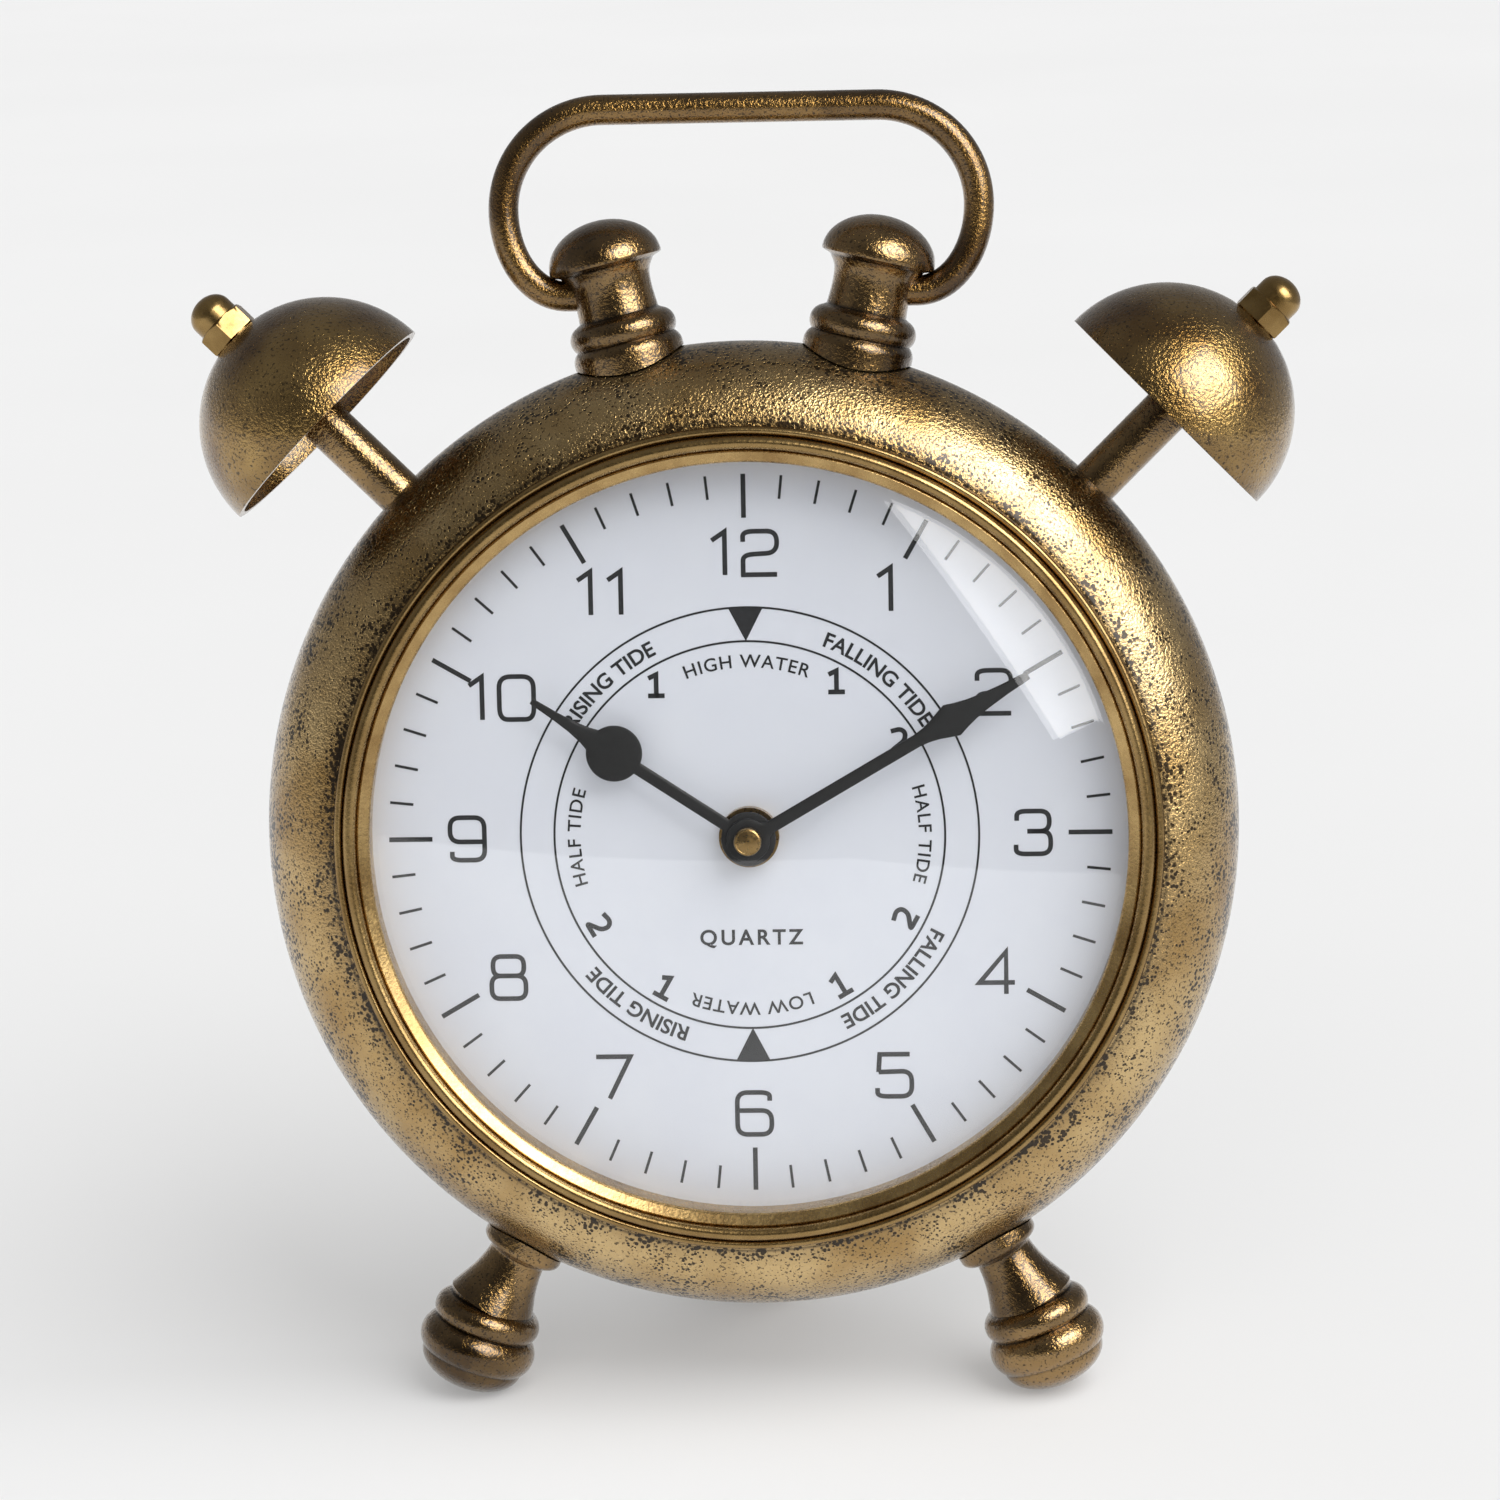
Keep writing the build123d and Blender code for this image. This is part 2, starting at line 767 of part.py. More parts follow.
def minute_hand():
    start = lozenge_at - lozenge_lead
    side = lozenge_w / 2
    edge = minute_shaft_w / 2
    tip = minute_tip_w / 2
    rise = ((edge + side) / 2 - 0.5, (start + lozenge_at) / 2 + 0.8)
    fall = (tip + (side - tip) * 0.3, lozenge_at + (minute_len - lozenge_at) * 0.45)
    head = profile(
        (-edge, start),
        [(edge, start)],
        [rise, (side, lozenge_at)],
        [fall, (tip, minute_len)],
        [(-tip, minute_len)],
        [(-fall[0], fall[1]), (-side, lozenge_at)],
        [(-rise[0], rise[1]), (-edge, start)],
    )
    shape = Circle(minute_hub_r) + Pos(0, start / 2) * Rectangle(minute_shaft_w, start) + head
    blade = slab(shape, -minute_hand_y - hand_t, -minute_hand_y)
    blade -= rod(minute_arbor_r, -minute_hand_y - hand_t, -minute_hand_y)
    collet = hand_collet(minute_arbor_r, -minute_hand_y, -minute_hand_y + minute_collet_h)
    return Rot(0, minute_angle, 0) * (blade + collet)


def minute_hand_cap():
    face = profile(
        (0, cap_back),
        [(cap_r, cap_back)],
        [(cap_r, cap_back - cap_h * 0.6)],
        [(cap_r - 0.4, cap_back - cap_h * 0.8)],
        [(cap_r * 0.35, cap_back - cap_h)],
        [(0, cap_back - cap_h)],
    )
    return spin(face) - rod(minute_arbor_r, cap_back - cap_h * 0.7, cap_back)


def movement_front_case():
    square = RectangleRounded(move_w, move_w, move_corner_r)
    hollow = RectangleRounded(2 * inside, 2 * inside, move_corner_r - move_wall)
    shell = slab(square, depth(0), depth(move_split))
    shell -= slab(hollow, depth(move_plate), depth(move_split))
    divider = Pos(0, bay_wall_z + bay_wall_t / 2) * Rectangle(2 * inside, bay_wall_t)
    shell += slab(divider, depth(move_plate), depth(move_split))
    for z in (board_z - board_h / 3, board_z + board_h / 3):
        shell += rod(peg_r, depth(move_plate), depth(board_d), board_x, z)
    for x in stator_legs():
        shell += rod(peg_r, depth(move_plate), depth(stator_d()), x, coil_z - stator_drop)
    shell -= rod(bush_r, depth(0), depth(move_plate))
    return shell - rod(pivot_r + play, depth(move_plate / 3), depth(move_plate), 0, arbor_gap)


def movement_rear_case():
    square = RectangleRounded(move_w, move_w, move_corner_r)
    hollow = RectangleRounded(2 * inside, 2 * inside, move_corner_r - move_wall)
    shell = slab(square, depth(move_split), depth(move_depth))
    shell -= slab(hollow, depth(move_split), depth(move_depth - move_plate))
    bay_h = bay_wall_z + inside
    bay = Pos(0, bay_wall_z - bay_h / 2) * RectangleRounded(2 * inside, bay_h, move_corner_r - move_wall)
    shell -= slab(bay, depth(move_split), depth(move_depth))
    boss_front = depth(move_depth - move_plate - 2)
    shell += rod(tail_r + move_wall, boss_front, depth(move_depth - move_plate))
    shell -= rod(tail_r + play, boss_front, depth(move_depth - move_plate))
    return shell - rod(motion_arbor_r + play, depth(0), depth(move_depth), 0, arbor_gap)


def movement_bushing():
    return flat_ring(hour_pipe_r + play, bush_r, -dial_y - bush_out, depth(move_plate))


def bushing_nut():
    ring = flat_ring(bush_r + fit, bush_nut_r, -dial_y - bush_nut_h, -dial_y)
    for side in (-1, 1):
        slot = Box(2 * (bush_nut_r - bush_r), 1.0, 1.2)
        ring -= Pos(side * bush_nut_r, -dial_y - bush_nut_h, 0) * slot
    return ring


def cell_centre():
    return depth(move_depth - cell_r), bay_wall_z - seam - cell_r


def along_x(radius, x0, x1):
    y, z = cell_centre()
    return Pos((x0 + x1) / 2, y, z) * Rot(0, 90, 0) * Cylinder(radius, x1 - x0)


def battery_cell():
    tip = inside - contact_t
    body = tip - cell_tip_h
    return along_x(cell_r, body - cell_len, body) + along_x(cell_tip_r, body, tip)


def contact_plus():
    y, z = cell_centre()
    return Pos(inside - contact_t / 2, y, z) * Box(contact_t, contact_w, contact_w)


def contact_minus():
    y, z = cell_centre()
    end = inside - contact_t - cell_tip_h - cell_len
    wall = -inside
    strip = [
        (wall, z + contact_w / 2),
        (wall, z - contact_w / 2),
        (wall + contact_t, z - contact_w / 2),
        (end - contact_t, z - 1),
        (end, z - 1),
        (end, z + 1),
        (end - contact_t, z + 1),
        (end - contact_t * 2, z - 0.4),
        (wall + contact_t, z - contact_w / 2 + 1),
        (wall + contact_t, z + contact_w / 2),
    ]
    return slab(make_face(Polyline(*strip, close=True)), y - contact_w / 4, y + contact_w / 4)


def stator_d():
    return move_plate + coil_r


def stator_legs():
    reach = coil_len / 2 + stator_w
    return [coil_x - reach + stator_w / 2, coil_x + reach - stator_w / 2]


def stator_frame():
    left, right = stator_legs()
    wide = right - left + stator_w
    outer = Pos(coil_x, coil_z - stator_drop / 2) * Rectangle(wide, stator_drop + stator_w)
    inner = Pos(coil_x, coil_z - stator_drop / 2) * Rectangle(coil_len, stator_drop - stator_w)
    return slab(outer - inner, depth(stator_d()), depth(stator_d() + stator_t))


def motor_coil():
    y = depth(stator_d() + stator_t / 2)
    winding = Rot(0, 90, 0) * Cylinder(coil_r - coil_flange_w, coil_len)
    flange = Rot(0, 90, 0) * Cylinder(coil_r, coil_flange_t)
    ends = (coil_len - coil_flange_t) / 2
    spool = winding + Pos(ends, 0, 0) * flange + Pos(-ends, 0, 0) * flange
    return Pos(coil_x, y, coil_z) * (spool - Box(coil_len, stator_t, stator_w))


def circuit_board():
    return slab(Pos(board_x, board_z) * Rectangle(board_w, board_h), depth(board_d), depth(board_d + board_t))


def quartz_crystal():
    y = depth(board_d + board_t) + crystal_r
    return Pos(board_x, y, board_z) * Cylinder(crystal_r, crystal_len)


fixed = {
    "case_shell": case_shell(),
    "bezel_ring": bezel_ring(),
    "lens_glass": lens_glass(),
    "lens_gasket": lens_gasket(),
    "rehaut_ring": flat_ring(bezel_lip_r + rehaut_back, glass_edge_r, -glass_back, -dial_y),
    "dial_plate": dial_plate(),
    "back_cover": back_cover(),
    "back_cover_screws": back_cover_screws(),
    "left_handle_post": handle_post(post_mounts[0], -1),
    "right_handle_post": handle_post(post_mounts[1], 1),
    "handle_post_screws": [wall_screw(place, post_screw_r, post_screw_grip) for place in post_mounts],
    "handle_loop": handle_loop(),
    "left_bell": bell(bell_mounts[0]),
    "right_bell": bell(bell_mounts[1]),
    "left_bell_stem": bell_stem(bell_mounts[0]),
    "right_bell_stem": bell_stem(bell_mounts[1]),
    "bell_acorn_nuts": [acorn_nut(place) for place in bell_mounts],
    "bell_stem_nuts": [stem_nut(place) for place in bell_mounts],
    "left_front_foot": foot(foot_mounts[0], -foot_bend, 0),
    "right_front_foot": foot(foot_mounts[1], foot_bend, 0),
    "rear_foot": foot(foot_mounts[2], 0, rear_neck_more),
    "foot_screws": [wall_screw(place, foot_screw_r, foot_screw_grip) for place in foot_mounts],
    "movement_front_case": movement_front_case(),
    "movement_rear_case": movement_rear_case(),
    "movement_bushing": movement_bushing(),
    "bushing_nut": bushing_nut(),
    "bushing_washer": flat_ring(bush_r + slip, washer_r, dial_back, move_y),
    "battery_cell": battery_cell(),
    "battery_contact_plus": contact_plus(),
    "battery_contact_minus": contact_minus(),
    "motor_stator": stator_frame(),
    "motor_coil": motor_coil(),
    "circuit_board": circuit_board(),
    "quartz_crystal": quartz_crystal(),
    "hour_wheel": hour_wheel(),
    "minute_arbor": minute_arbor(),
    "motion_wheel": motion_wheel(),
    "setting_knob": setting_knob(),
    "hour_hand": hour_hand(),
    "minute_hand": minute_hand(),
    "minute_hand_cap": minute_hand_cap(),
}

# The head leans back until all three feet stand on one floor.
lean_angle = find_lean()
stand_z = foot_reach(lean_angle)[0] - foot_flat
stand = Pos(0, 0, stand_z) * Rot(-math.degrees(lean_angle), 0, 0)


def pieces_of(shape):
    group = shape if isinstance(shape, list) else [shape]
    return [solid for piece in group for solid in piece.solids()]


placed = {}
for name, shape in fixed.items():
    solids = [stand * solid for solid in pieces_of(shape)]
    if name.endswith("_foot"):
        solids = [split(solid, bisect_by=Plane.XY, keep=Keep.TOP).solid() for solid in solids]
    placed[name] = solids

box = Compound([solid for solids in placed.values() for solid in solids]).bounding_box()
shift_y = -(box.min.Y + box.max.Y) / 2
nodes = {}
for name, solids in placed.items():
    moved = [Pos(0, shift_y, 0) * solid for solid in solids]
    nodes[name] = moved[0] if len(moved) == 1 else Compound(moved)

os.makedirs("parts", exist_ok=True)
for name, shape in nodes.items():
    export_step(shape, "parts/" + name + ".step")
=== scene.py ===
import json
import math
import bpy
import bmesh
import numpy as np
from mathutils import Matrix, Quaternion, Vector


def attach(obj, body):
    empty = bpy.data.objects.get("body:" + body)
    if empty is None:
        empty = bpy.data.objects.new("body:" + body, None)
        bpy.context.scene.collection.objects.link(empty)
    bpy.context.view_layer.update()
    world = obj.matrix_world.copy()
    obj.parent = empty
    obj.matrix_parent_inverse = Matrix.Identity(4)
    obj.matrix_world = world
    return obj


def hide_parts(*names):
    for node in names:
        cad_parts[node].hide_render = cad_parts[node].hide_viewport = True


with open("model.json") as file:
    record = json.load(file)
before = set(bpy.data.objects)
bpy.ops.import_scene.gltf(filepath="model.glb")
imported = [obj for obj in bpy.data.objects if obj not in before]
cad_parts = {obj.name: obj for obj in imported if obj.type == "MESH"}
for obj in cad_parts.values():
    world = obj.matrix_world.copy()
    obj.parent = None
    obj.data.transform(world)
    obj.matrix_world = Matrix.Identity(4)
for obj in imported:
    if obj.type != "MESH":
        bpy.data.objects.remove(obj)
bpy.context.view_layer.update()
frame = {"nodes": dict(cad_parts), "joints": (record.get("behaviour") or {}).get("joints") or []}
scene = bpy.context.scene

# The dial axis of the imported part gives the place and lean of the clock's head.
spin = next(j for j in frame["joints"] if j["name"] == "minute_spin")
headCentre = np.array(spin["pos_m"])
headBack = np.array(spin["axis"])
headUp = np.array([0.0, -headBack[2], headBack[1]])
# Middle of the case's round section, millimetres from the dial axis
ringRadius = 78.0


def toRow(points):
    # millimetres on the clock's head (right, back, up) to metres in the part's frame
    p = np.asarray(points, float) / 1000.0
    return headCentre + p[..., 0:1] * [1.0, 0.0, 0.0] + p[..., 1:2] * headBack + p[..., 2:3] * headUp


# Paths and profiles in millimetres
def arc(cx, cy, rx, ry, start, end, count):
    # piece of an ellipse: centre plus radii times cosine and sine
    t = np.radians(np.linspace(start, end, count))
    return np.column_stack([cx + rx * np.cos(t), cy + ry * np.sin(t)])


def dense(points, step):
    # each straight stretch is cut into equal parts no longer than the step
    out = [points[:1]]
    for a, b in zip(points[:-1], points[1:]):
        n = max(1, int(math.ceil(np.hypot(*(b - a)) / step)))
        out.append(a + (b - a) * np.arange(1, n + 1)[:, None] / n)
    return np.vstack(out)


def smoothThrough(knots, count):
    # Catmull-Rom curve: each stretch blends four knots with cubic weights
    k = np.vstack([2 * knots[0] - knots[1], knots, 2 * knots[-1] - knots[-2]])
    u = np.linspace(0, len(knots) - 1, count)
    i = np.minimum(u.astype(int), len(knots) - 2)
    t = (u - i)[:, None]
    a, b, c, d = k[i], k[i + 1], k[i + 2], k[i + 3]
    square, cube = 2 * a - 5 * b + 4 * c - d, 3 * b - a - 3 * c + d
    return 0.5 * (2 * b + (c - a) * t + square * t ** 2 + cube * t ** 3)


def arcThrough(start, middle, end, count):
    # circle through three points, worked out in complex numbers, followed from the first to the last
    a, b, c = (complex(*p) for p in (start, middle, end))
    w = (c - a) / (b - a)
    centre = a - (a - b) * (w - abs(w) ** 2) / (2j * w.imag)
    sweep = np.angle((b - centre) / (a - centre)) + np.angle((c - centre) / (b - centre))
    z = centre + (a - centre) * np.exp(1j * np.linspace(0, sweep, count))
    return np.column_stack([z.real, z.imag])


def recess(profile, closed, reach):
    # how far each point lies inside the average of its neighbours, along the profile normal
    n = len(profile)
    span = np.hypot(*np.diff(profile, axis=0).T).mean()
    width = max(1, int(round(reach / span)))
    pad = np.pad(profile, ((width, width), (0, 0)), "wrap" if closed else "edge")
    kernel = np.ones(2 * width + 1) / (2 * width + 1)
    mean = np.column_stack([np.convolve(pad[:, k], kernel, "valid") for k in (0, 1)])[:n]
    along = np.gradient(mean, axis=0)
    normal = np.column_stack([along[:, 1], -along[:, 0]])
    normal /= np.maximum(1e-9, np.linalg.norm(normal, axis=1))[:, None]
    return np.einsum("ij,ij->i", mean - profile, normal)


def newMesh(name, verts, faces, sharp=40):
    # smooth mesh, creased where faces meet past the sharp angle
    mesh = bpy.data.meshes.new(name)
    listed = faces.tolist() if isinstance(faces, np.ndarray) else faces
    mesh.from_pydata(np.asarray(verts).tolist(), [], listed)
    mesh.polygons.foreach_set("use_smooth", np.ones(len(mesh.polygons), bool))
    mesh.set_sharp_from_angle(angle=math.radians(sharp))
    mesh.update()
    piece = bpy.data.objects.new(name, mesh)
    scene.collection.objects.link(piece)
    return piece


def gridFaces(rows, cols, wrapRows, wrapCols):
    # corners of each cell of a grid that may close on itself
    i = np.arange(rows if wrapRows else rows - 1)
    j = np.arange(cols if wrapCols else cols - 1)
    a = (i[:, None] * cols + j[None]).ravel()
    b = (i[:, None] * cols + (j[None] + 1) % cols).ravel()
    c = ((i[:, None] + 1) % rows * cols + (j[None] + 1) % cols).ravel()
    d = ((i[:, None] + 1) % rows * cols + j[None]).ravel()
    return np.column_stack([a, b, c, d])


def setFloat(piece, name, values):
    layer = piece.data.attributes.new(name, "FLOAT", "POINT")
    layer.data.foreach_set("value", np.asarray(values, np.float32))


def closePoles(piece):
    # points that meet at a pole become one, and all faces turn outwards
    work = bmesh.new()
    work.from_mesh(piece.data)
    bmesh.ops.remove_doubles(work, verts=work.verts, dist=1e-7)
    bmesh.ops.recalc_face_normals(work, faces=work.faces)
    work.to_mesh(piece.data)
    work.free()


def lathe(name, profile, place, turns=192, closed=False, sharp=40, reach=1.2, wear=None):
    # radius and height of a profile swept round the local Z axis: x = r cos a, y = r sin a, z = h
    a = np.linspace(0, 2 * math.pi, turns, endpoint=False)
    r, h = profile[:, 0:1], profile[:, 1:2]
    local = np.stack([r * np.cos(a), r * np.sin(a), h + 0 * a], axis=-1).reshape(-1, 3)
    piece = newMesh(name, toRow(place(local)), gridFaces(len(profile), turns, closed, True), sharp)
    # depth of hollows in the profile: the brass materials paint patina and shade into it
    setFloat(piece, "recess", np.repeat(recess(profile, closed, reach), turns))
    setFloat(piece, "wear", np.repeat(np.zeros(len(profile)) if wear is None else np.clip(wear, 0, 1), turns))
    closePoles(piece)
    piece.data.set_sharp_from_angle(angle=math.radians(sharp))
    return piece


def dialPlace(p):
    # local Z becomes the dial axis, pointing back
    return np.column_stack([p[:, 0], p[:, 2], p[:, 1]])


def radialPlace(angle, tilt=0.0):
    # local Z points out of the case ring at an angle from twelve o'clock, tipped back by tilt
    t, k = math.radians(angle), math.radians(tilt)

    def place(p):
        x, y = p[:, 0], p[:, 1] * math.cos(k) + p[:, 2] * math.sin(k)
        z = ringRadius + p[:, 2] * math.cos(k) - p[:, 1] * math.sin(k)
        return np.column_stack([x * math.cos(t) + z * math.sin(t), y, z * math.cos(t) - x * math.sin(t)])
    return place


# Materials
def tint(code):
    # sRGB hex code to linear colour
    parts = [int(code[k:k + 2], 16) / 255 for k in (1, 3, 5)]
    return tuple(c / 12.92 if c <= 0.04045 else ((c + 0.055) / 1.055) ** 2.4 for c in parts) + (1.0,)


def add(tree, kind, inputs, out=0, stops=(), **settings):
    # one node: an input that is a socket is linked, any other is set, and one output comes back
    item = tree.nodes.new("ShaderNode" + kind)
    for key, value in settings.items():
        setattr(item, key, value)
    for key, value in inputs.items():
        if isinstance(value, bpy.types.NodeSocket):
            tree.links.new(value, item.inputs[key])
        else:
            item.inputs[key].default_value = value
    if stops:
        marks = item.color_ramp.elements
        while len(marks) < len(stops):
            marks.new(0.5)
        for mark, (place, colour) in zip(marks, stops):
            mark.position = place
            mark.color = colour
    return item.outputs[out] if len(item.outputs) else None


def grey(value):
    return (value, value, value, 1.0)


def perMetre(mm):
    return 1000.0 / mm


def blank(name):
    material = bpy.data.materials.new(name)
    material.use_nodes = True
    tree = material.node_tree
    tree.nodes.clear()
    return material, tree, add(tree, "TexCoord", {}, "Object")


def castBrass(name, light, dark, pits, grainMm, bump, rough):
    # lacquered antique brass, sand-cast: bright grain, dark pits in clusters, patina and painted shade in
    # grooves, patina at edges
    material, tree, coords = blank(name)
    cloud = add(tree, "TexNoise", {"Vector": coords, "Scale": perMetre(22.2), "Detail": 3.0,
        "Roughness": 0.55})
    mottle = add(tree, "TexNoise", {"Vector": coords, "Scale": perMetre(5.88), "Detail": 3.0,
        "Roughness": 0.65})
    grain = add(tree, "TexNoise", {"Vector": coords, "Scale": perMetre(grainMm), "Detail": 2.0,
        "Roughness": 0.6})
    dust = add(tree, "TexNoise", {"Vector": coords, "Scale": perMetre(0.6), "Detail": 1.0, "Roughness": 0.4})
    cells = add(tree, "TexVoronoi", {"Vector": coords, "Scale": perMetre(0.9)}, "Distance")
    wear = add(tree, "Attribute", {}, "Fac", attribute_name="wear")
    hollow = add(tree, "Attribute", {}, "Fac", attribute_name="recess")

    # clouds of light and dark brass, browner where worn
    base = add(tree, "ValToRGB", {"Fac": cloud}, stops=[(0.35, tint(dark)), (0.62, tint(light))])
    age = add(tree, "MapRange", {"Value": wear, "To Max": 0.45})
    browned = add(tree, "Mix", {0: age, 6: base, 7: tint("#6A4F26")}, 2, data_type="RGBA")

    # a pit opens where mottle and wear lift the limit above the distance to a cell's middle
    mottled = add(tree, "MapRange", {"Value": mottle, "From Min": 0.36, "From Max": 0.70, "To Max": pits})
    worn = add(tree, "MapRange", {"Value": wear, "To Max": pits * 0.6})
    limit = add(tree, "Math", {0: mottled, 1: worn}, operation="ADD")
    depth = add(tree, "Math", {0: limit, 1: cells}, operation="SUBTRACT")
    pit = add(tree, "MapRange", {"Value": depth, "From Max": 0.06})
    speck = add(tree, "MapRange", {"Value": dust, "From Min": 0.40, "From Max": 0.32, "To Max": 0.8})
    marked = add(tree, "Math", {0: pit, 1: speck}, operation="MAXIMUM")
    stain = add(tree, "Math", {0: marked, 1: 0.95}, operation="MULTIPLY")
    pitted = add(tree, "Mix", {0: stain, 6: browned, 7: tint("#221606")}, 2, data_type="RGBA")
    # grooves darken to near-black brown: part patina, part painted shade where shade falls in the hollows
    groove = add(tree, "MapRange", {"Value": hollow, "From Min": 0.03, "From Max": 0.35, "To Max": 0.92})
    colour = add(tree, "Mix", {0: groove, 6: pitted, 7: tint("#241806")}, 2, data_type="RGBA")

    # pits are duller and lie deeper than the grain
    sheen = add(tree, "MapRange", {"Value": grain, "From Min": 0.3, "From Max": 0.7, "To Min": rough + 0.08,
        "To Max": rough - 0.04})
    dull = add(tree, "Math", {0: marked, 1: 0.2}, operation="MULTIPLY")
    roughness = add(tree, "Math", {0: sheen, 1: dull}, operation="ADD")
    sunk = add(tree, "Math", {0: pit, 1: 0.4}, operation="MULTIPLY")
    height = add(tree, "Math", {0: grain, 1: sunk}, operation="SUBTRACT")
    normal = add(tree, "Bump", {"Strength": bump, "Distance": grainMm * 0.0004, "Height": height})
    shader = add(tree, "BsdfPrincipled", {"Base Color": colour, "Roughness": roughness, "Normal": normal,
        "Metallic": 1.0, "Coat Weight": 0.8, "Coat Roughness": 0.2})
    add(tree, "OutputMaterial", {"Surface": shader})
    return material


def smoothBrass(name, light, dark, rough, bump):
    # turned and lacquered brass: faint clouds, brown age on the worn beads, dark lines in the grooves that
    # are part patina, part painted shade
    material, tree, coords = blank(name)
    cloud = add(tree, "TexNoise", {"Vector": coords, "Scale": perMetre(8.33), "Detail": 3.0,
        "Roughness": 0.55})
    fine = add(tree, "TexNoise", {"Vector": coords, "Scale": perMetre(0.714), "Detail": 2.0,
        "Roughness": 0.55})
    wear = add(tree, "Attribute", {}, "Fac", attribute_name="wear")
    hollow = add(tree, "Attribute", {}, "Fac", attribute_name="recess")
    base = add(tree, "ValToRGB", {"Fac": cloud}, stops=[(0.3, tint(dark)), (0.7, tint(light))])
    age = add(tree, "MapRange", {"Value": wear, "To Max": 0.4})
    aged = add(tree, "Mix", {0: age, 6: base, 7: tint("#6E5428")}, 2, data_type="RGBA")
    # dark lines in the grooves: part patina, part painted shade
    groove = add(tree, "MapRange", {"Value": hollow, "From Min": 0.03, "From Max": 0.35, "To Max": 0.55})
    colour = add(tree, "Mix", {0: groove, 6: aged, 7: tint("#3A2810")}, 2, data_type="RGBA")
    roughness = add(tree, "MapRange", {"Value": fine, "From Min": 0.3, "From Max": 0.7, "To Min": rough + 0.1,
        "To Max": rough})
    normal = add(tree, "Bump", {"Strength": bump, "Distance": 0.0003, "Height": fine})
    shader = add(tree, "BsdfPrincipled", {"Base Color": colour, "Roughness": roughness, "Normal": normal,
        "Metallic": 1.0, "Coat Weight": 0.3, "Coat Roughness": 0.2})
    add(tree, "OutputMaterial", {"Surface": shader})
    return material


def plainSurface(name, light, dark, mottleMm, rough, metallic=0.0, bump=0.05):
    # paint, plastic, rubber or bare metal with a slight mottled tone
    material, tree, coords = blank(name)
    mottle = add(tree, "TexNoise", {"Vector": coords, "Scale": perMetre(mottleMm), "Detail": 3.0,
        "Roughness": 0.55})
    colour = add(tree, "ValToRGB", {"Fac": mottle}, stops=[(0.35, tint(dark)), (0.65, tint(light))])
    roughness = add(tree, "MapRange", {"Value": mottle, "From Min": 0.3, "From Max": 0.7,
        "To Min": rough + 0.06, "To Max": rough})
    normal = add(tree, "Bump", {"Strength": bump, "Distance": 0.0002, "Height": mottle})
    shader = add(tree, "BsdfPrincipled", {"Base Color": colour, "Roughness": roughness, "Normal": normal,
        "Metallic": metallic})
    add(tree, "OutputMaterial", {"Surface": shader})
    return material


def clearGlass(name):
    # thin clear glass: looks straight through, mirrors by the Fresnel law
    index = 1.5
    material, tree, coords = blank(name)
    haze = add(tree, "TexNoise", {"Vector": coords, "Scale": perMetre(33.3), "Detail": 2.0,
        "Roughness": 0.55})
    smear = add(tree, "MapRange", {"Value": haze, "From Min": 0.3, "From Max": 0.7, "To Min": 0.02,
        "To Max": 0.01})
    through = add(tree, "BsdfTransparent", {"Color": grey(1.0)})
    mirror = add(tree, "BsdfGlossy", {"Color": grey(1.0), "Roughness": smear})
    leaving = add(tree, "NewGeometry", {}, "Backfacing")
    bend = add(tree, "MapRange", {"Value": leaving, "To Min": index, "To Max": 1.0 / index})
    edge = add(tree, "Fresnel", {"IOR": bend})
    both = add(tree, "MixShader", {0: edge, 1: through, 2: mirror})
    add(tree, "OutputMaterial", {"Surface": both})
    return material


def paperSheet(name, light, dark, glow):
    # matt translucent studio sheet, no gloss, lit a little from below
    material, tree, coords = blank(name)
    cloud = add(tree, "TexNoise", {"Vector": coords, "Scale": perMetre(500.0), "Detail": 3.0,
        "Roughness": 0.55})
    colour = add(tree, "ValToRGB", {"Fac": cloud}, stops=[(0.35, tint(dark)), (0.65, tint(light))])
    matt = add(tree, "BsdfDiffuse", {"Color": colour})
    below = add(tree, "Emission", {"Color": colour, "Strength": glow})
    both = add(tree, "AddShader", {0: matt, 1: below})
    add(tree, "OutputMaterial", {"Surface": both})
    return material


def dress(piece, material, body, node):
    piece.data.materials.clear()
    piece.data.materials.append(material)
    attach(piece, body)
    if node:
        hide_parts(node)


# Brass: the case is pale and pitted, the bells golden, turnings and rod dark, the bezel bright
caseBrass = castBrass("castAntiqueBrassCase", "#D0B27C", "#A8864E", pits=0.49, grainMm=0.6, bump=0.9,
    rough=0.20)
bellBrass = castBrass("pebbledAntiqueBrass", "#B09056", "#6A4A1C", pits=0.18, grainMm=0.7, bump=0.9,
    rough=0.18)
turnedBrass = castBrass("turnedAntiqueBrass", "#98794A", "#4A3411", pits=0.20, grainMm=0.8, bump=0.7,
    rough=0.15)
rodBrass = castBrass("agedBrassRod", "#8A6A39", "#4C3413", pits=0.22, grainMm=0.6, bump=1.0, rough=0.17)
bezelBrass = smoothBrass("polishedBezelBrass", "#C2A36C", "#98794A", rough=0.22, bump=0.15)
nutBrass = smoothBrass("satinBrassHardware", "#AA8C58", "#7E6234", rough=0.24, bump=0.08)
# Dial and hands: satin black enamel, flat white paint, ink without gloss
handBlack = plainSurface("satinBlackHandPaint", "#101010", "#090909", mottleMm=1.43, rough=0.5)
dialWhite = plainSurface("mattWhiteDialPaint", "#E2E6EE", "#DFE3EC", mottleMm=16.7, rough=0.6, bump=0.01)
printInk = plainSurface("blackDialInk", "#17191D", "#0F1114", mottleMm=1.11, rough=0.6)
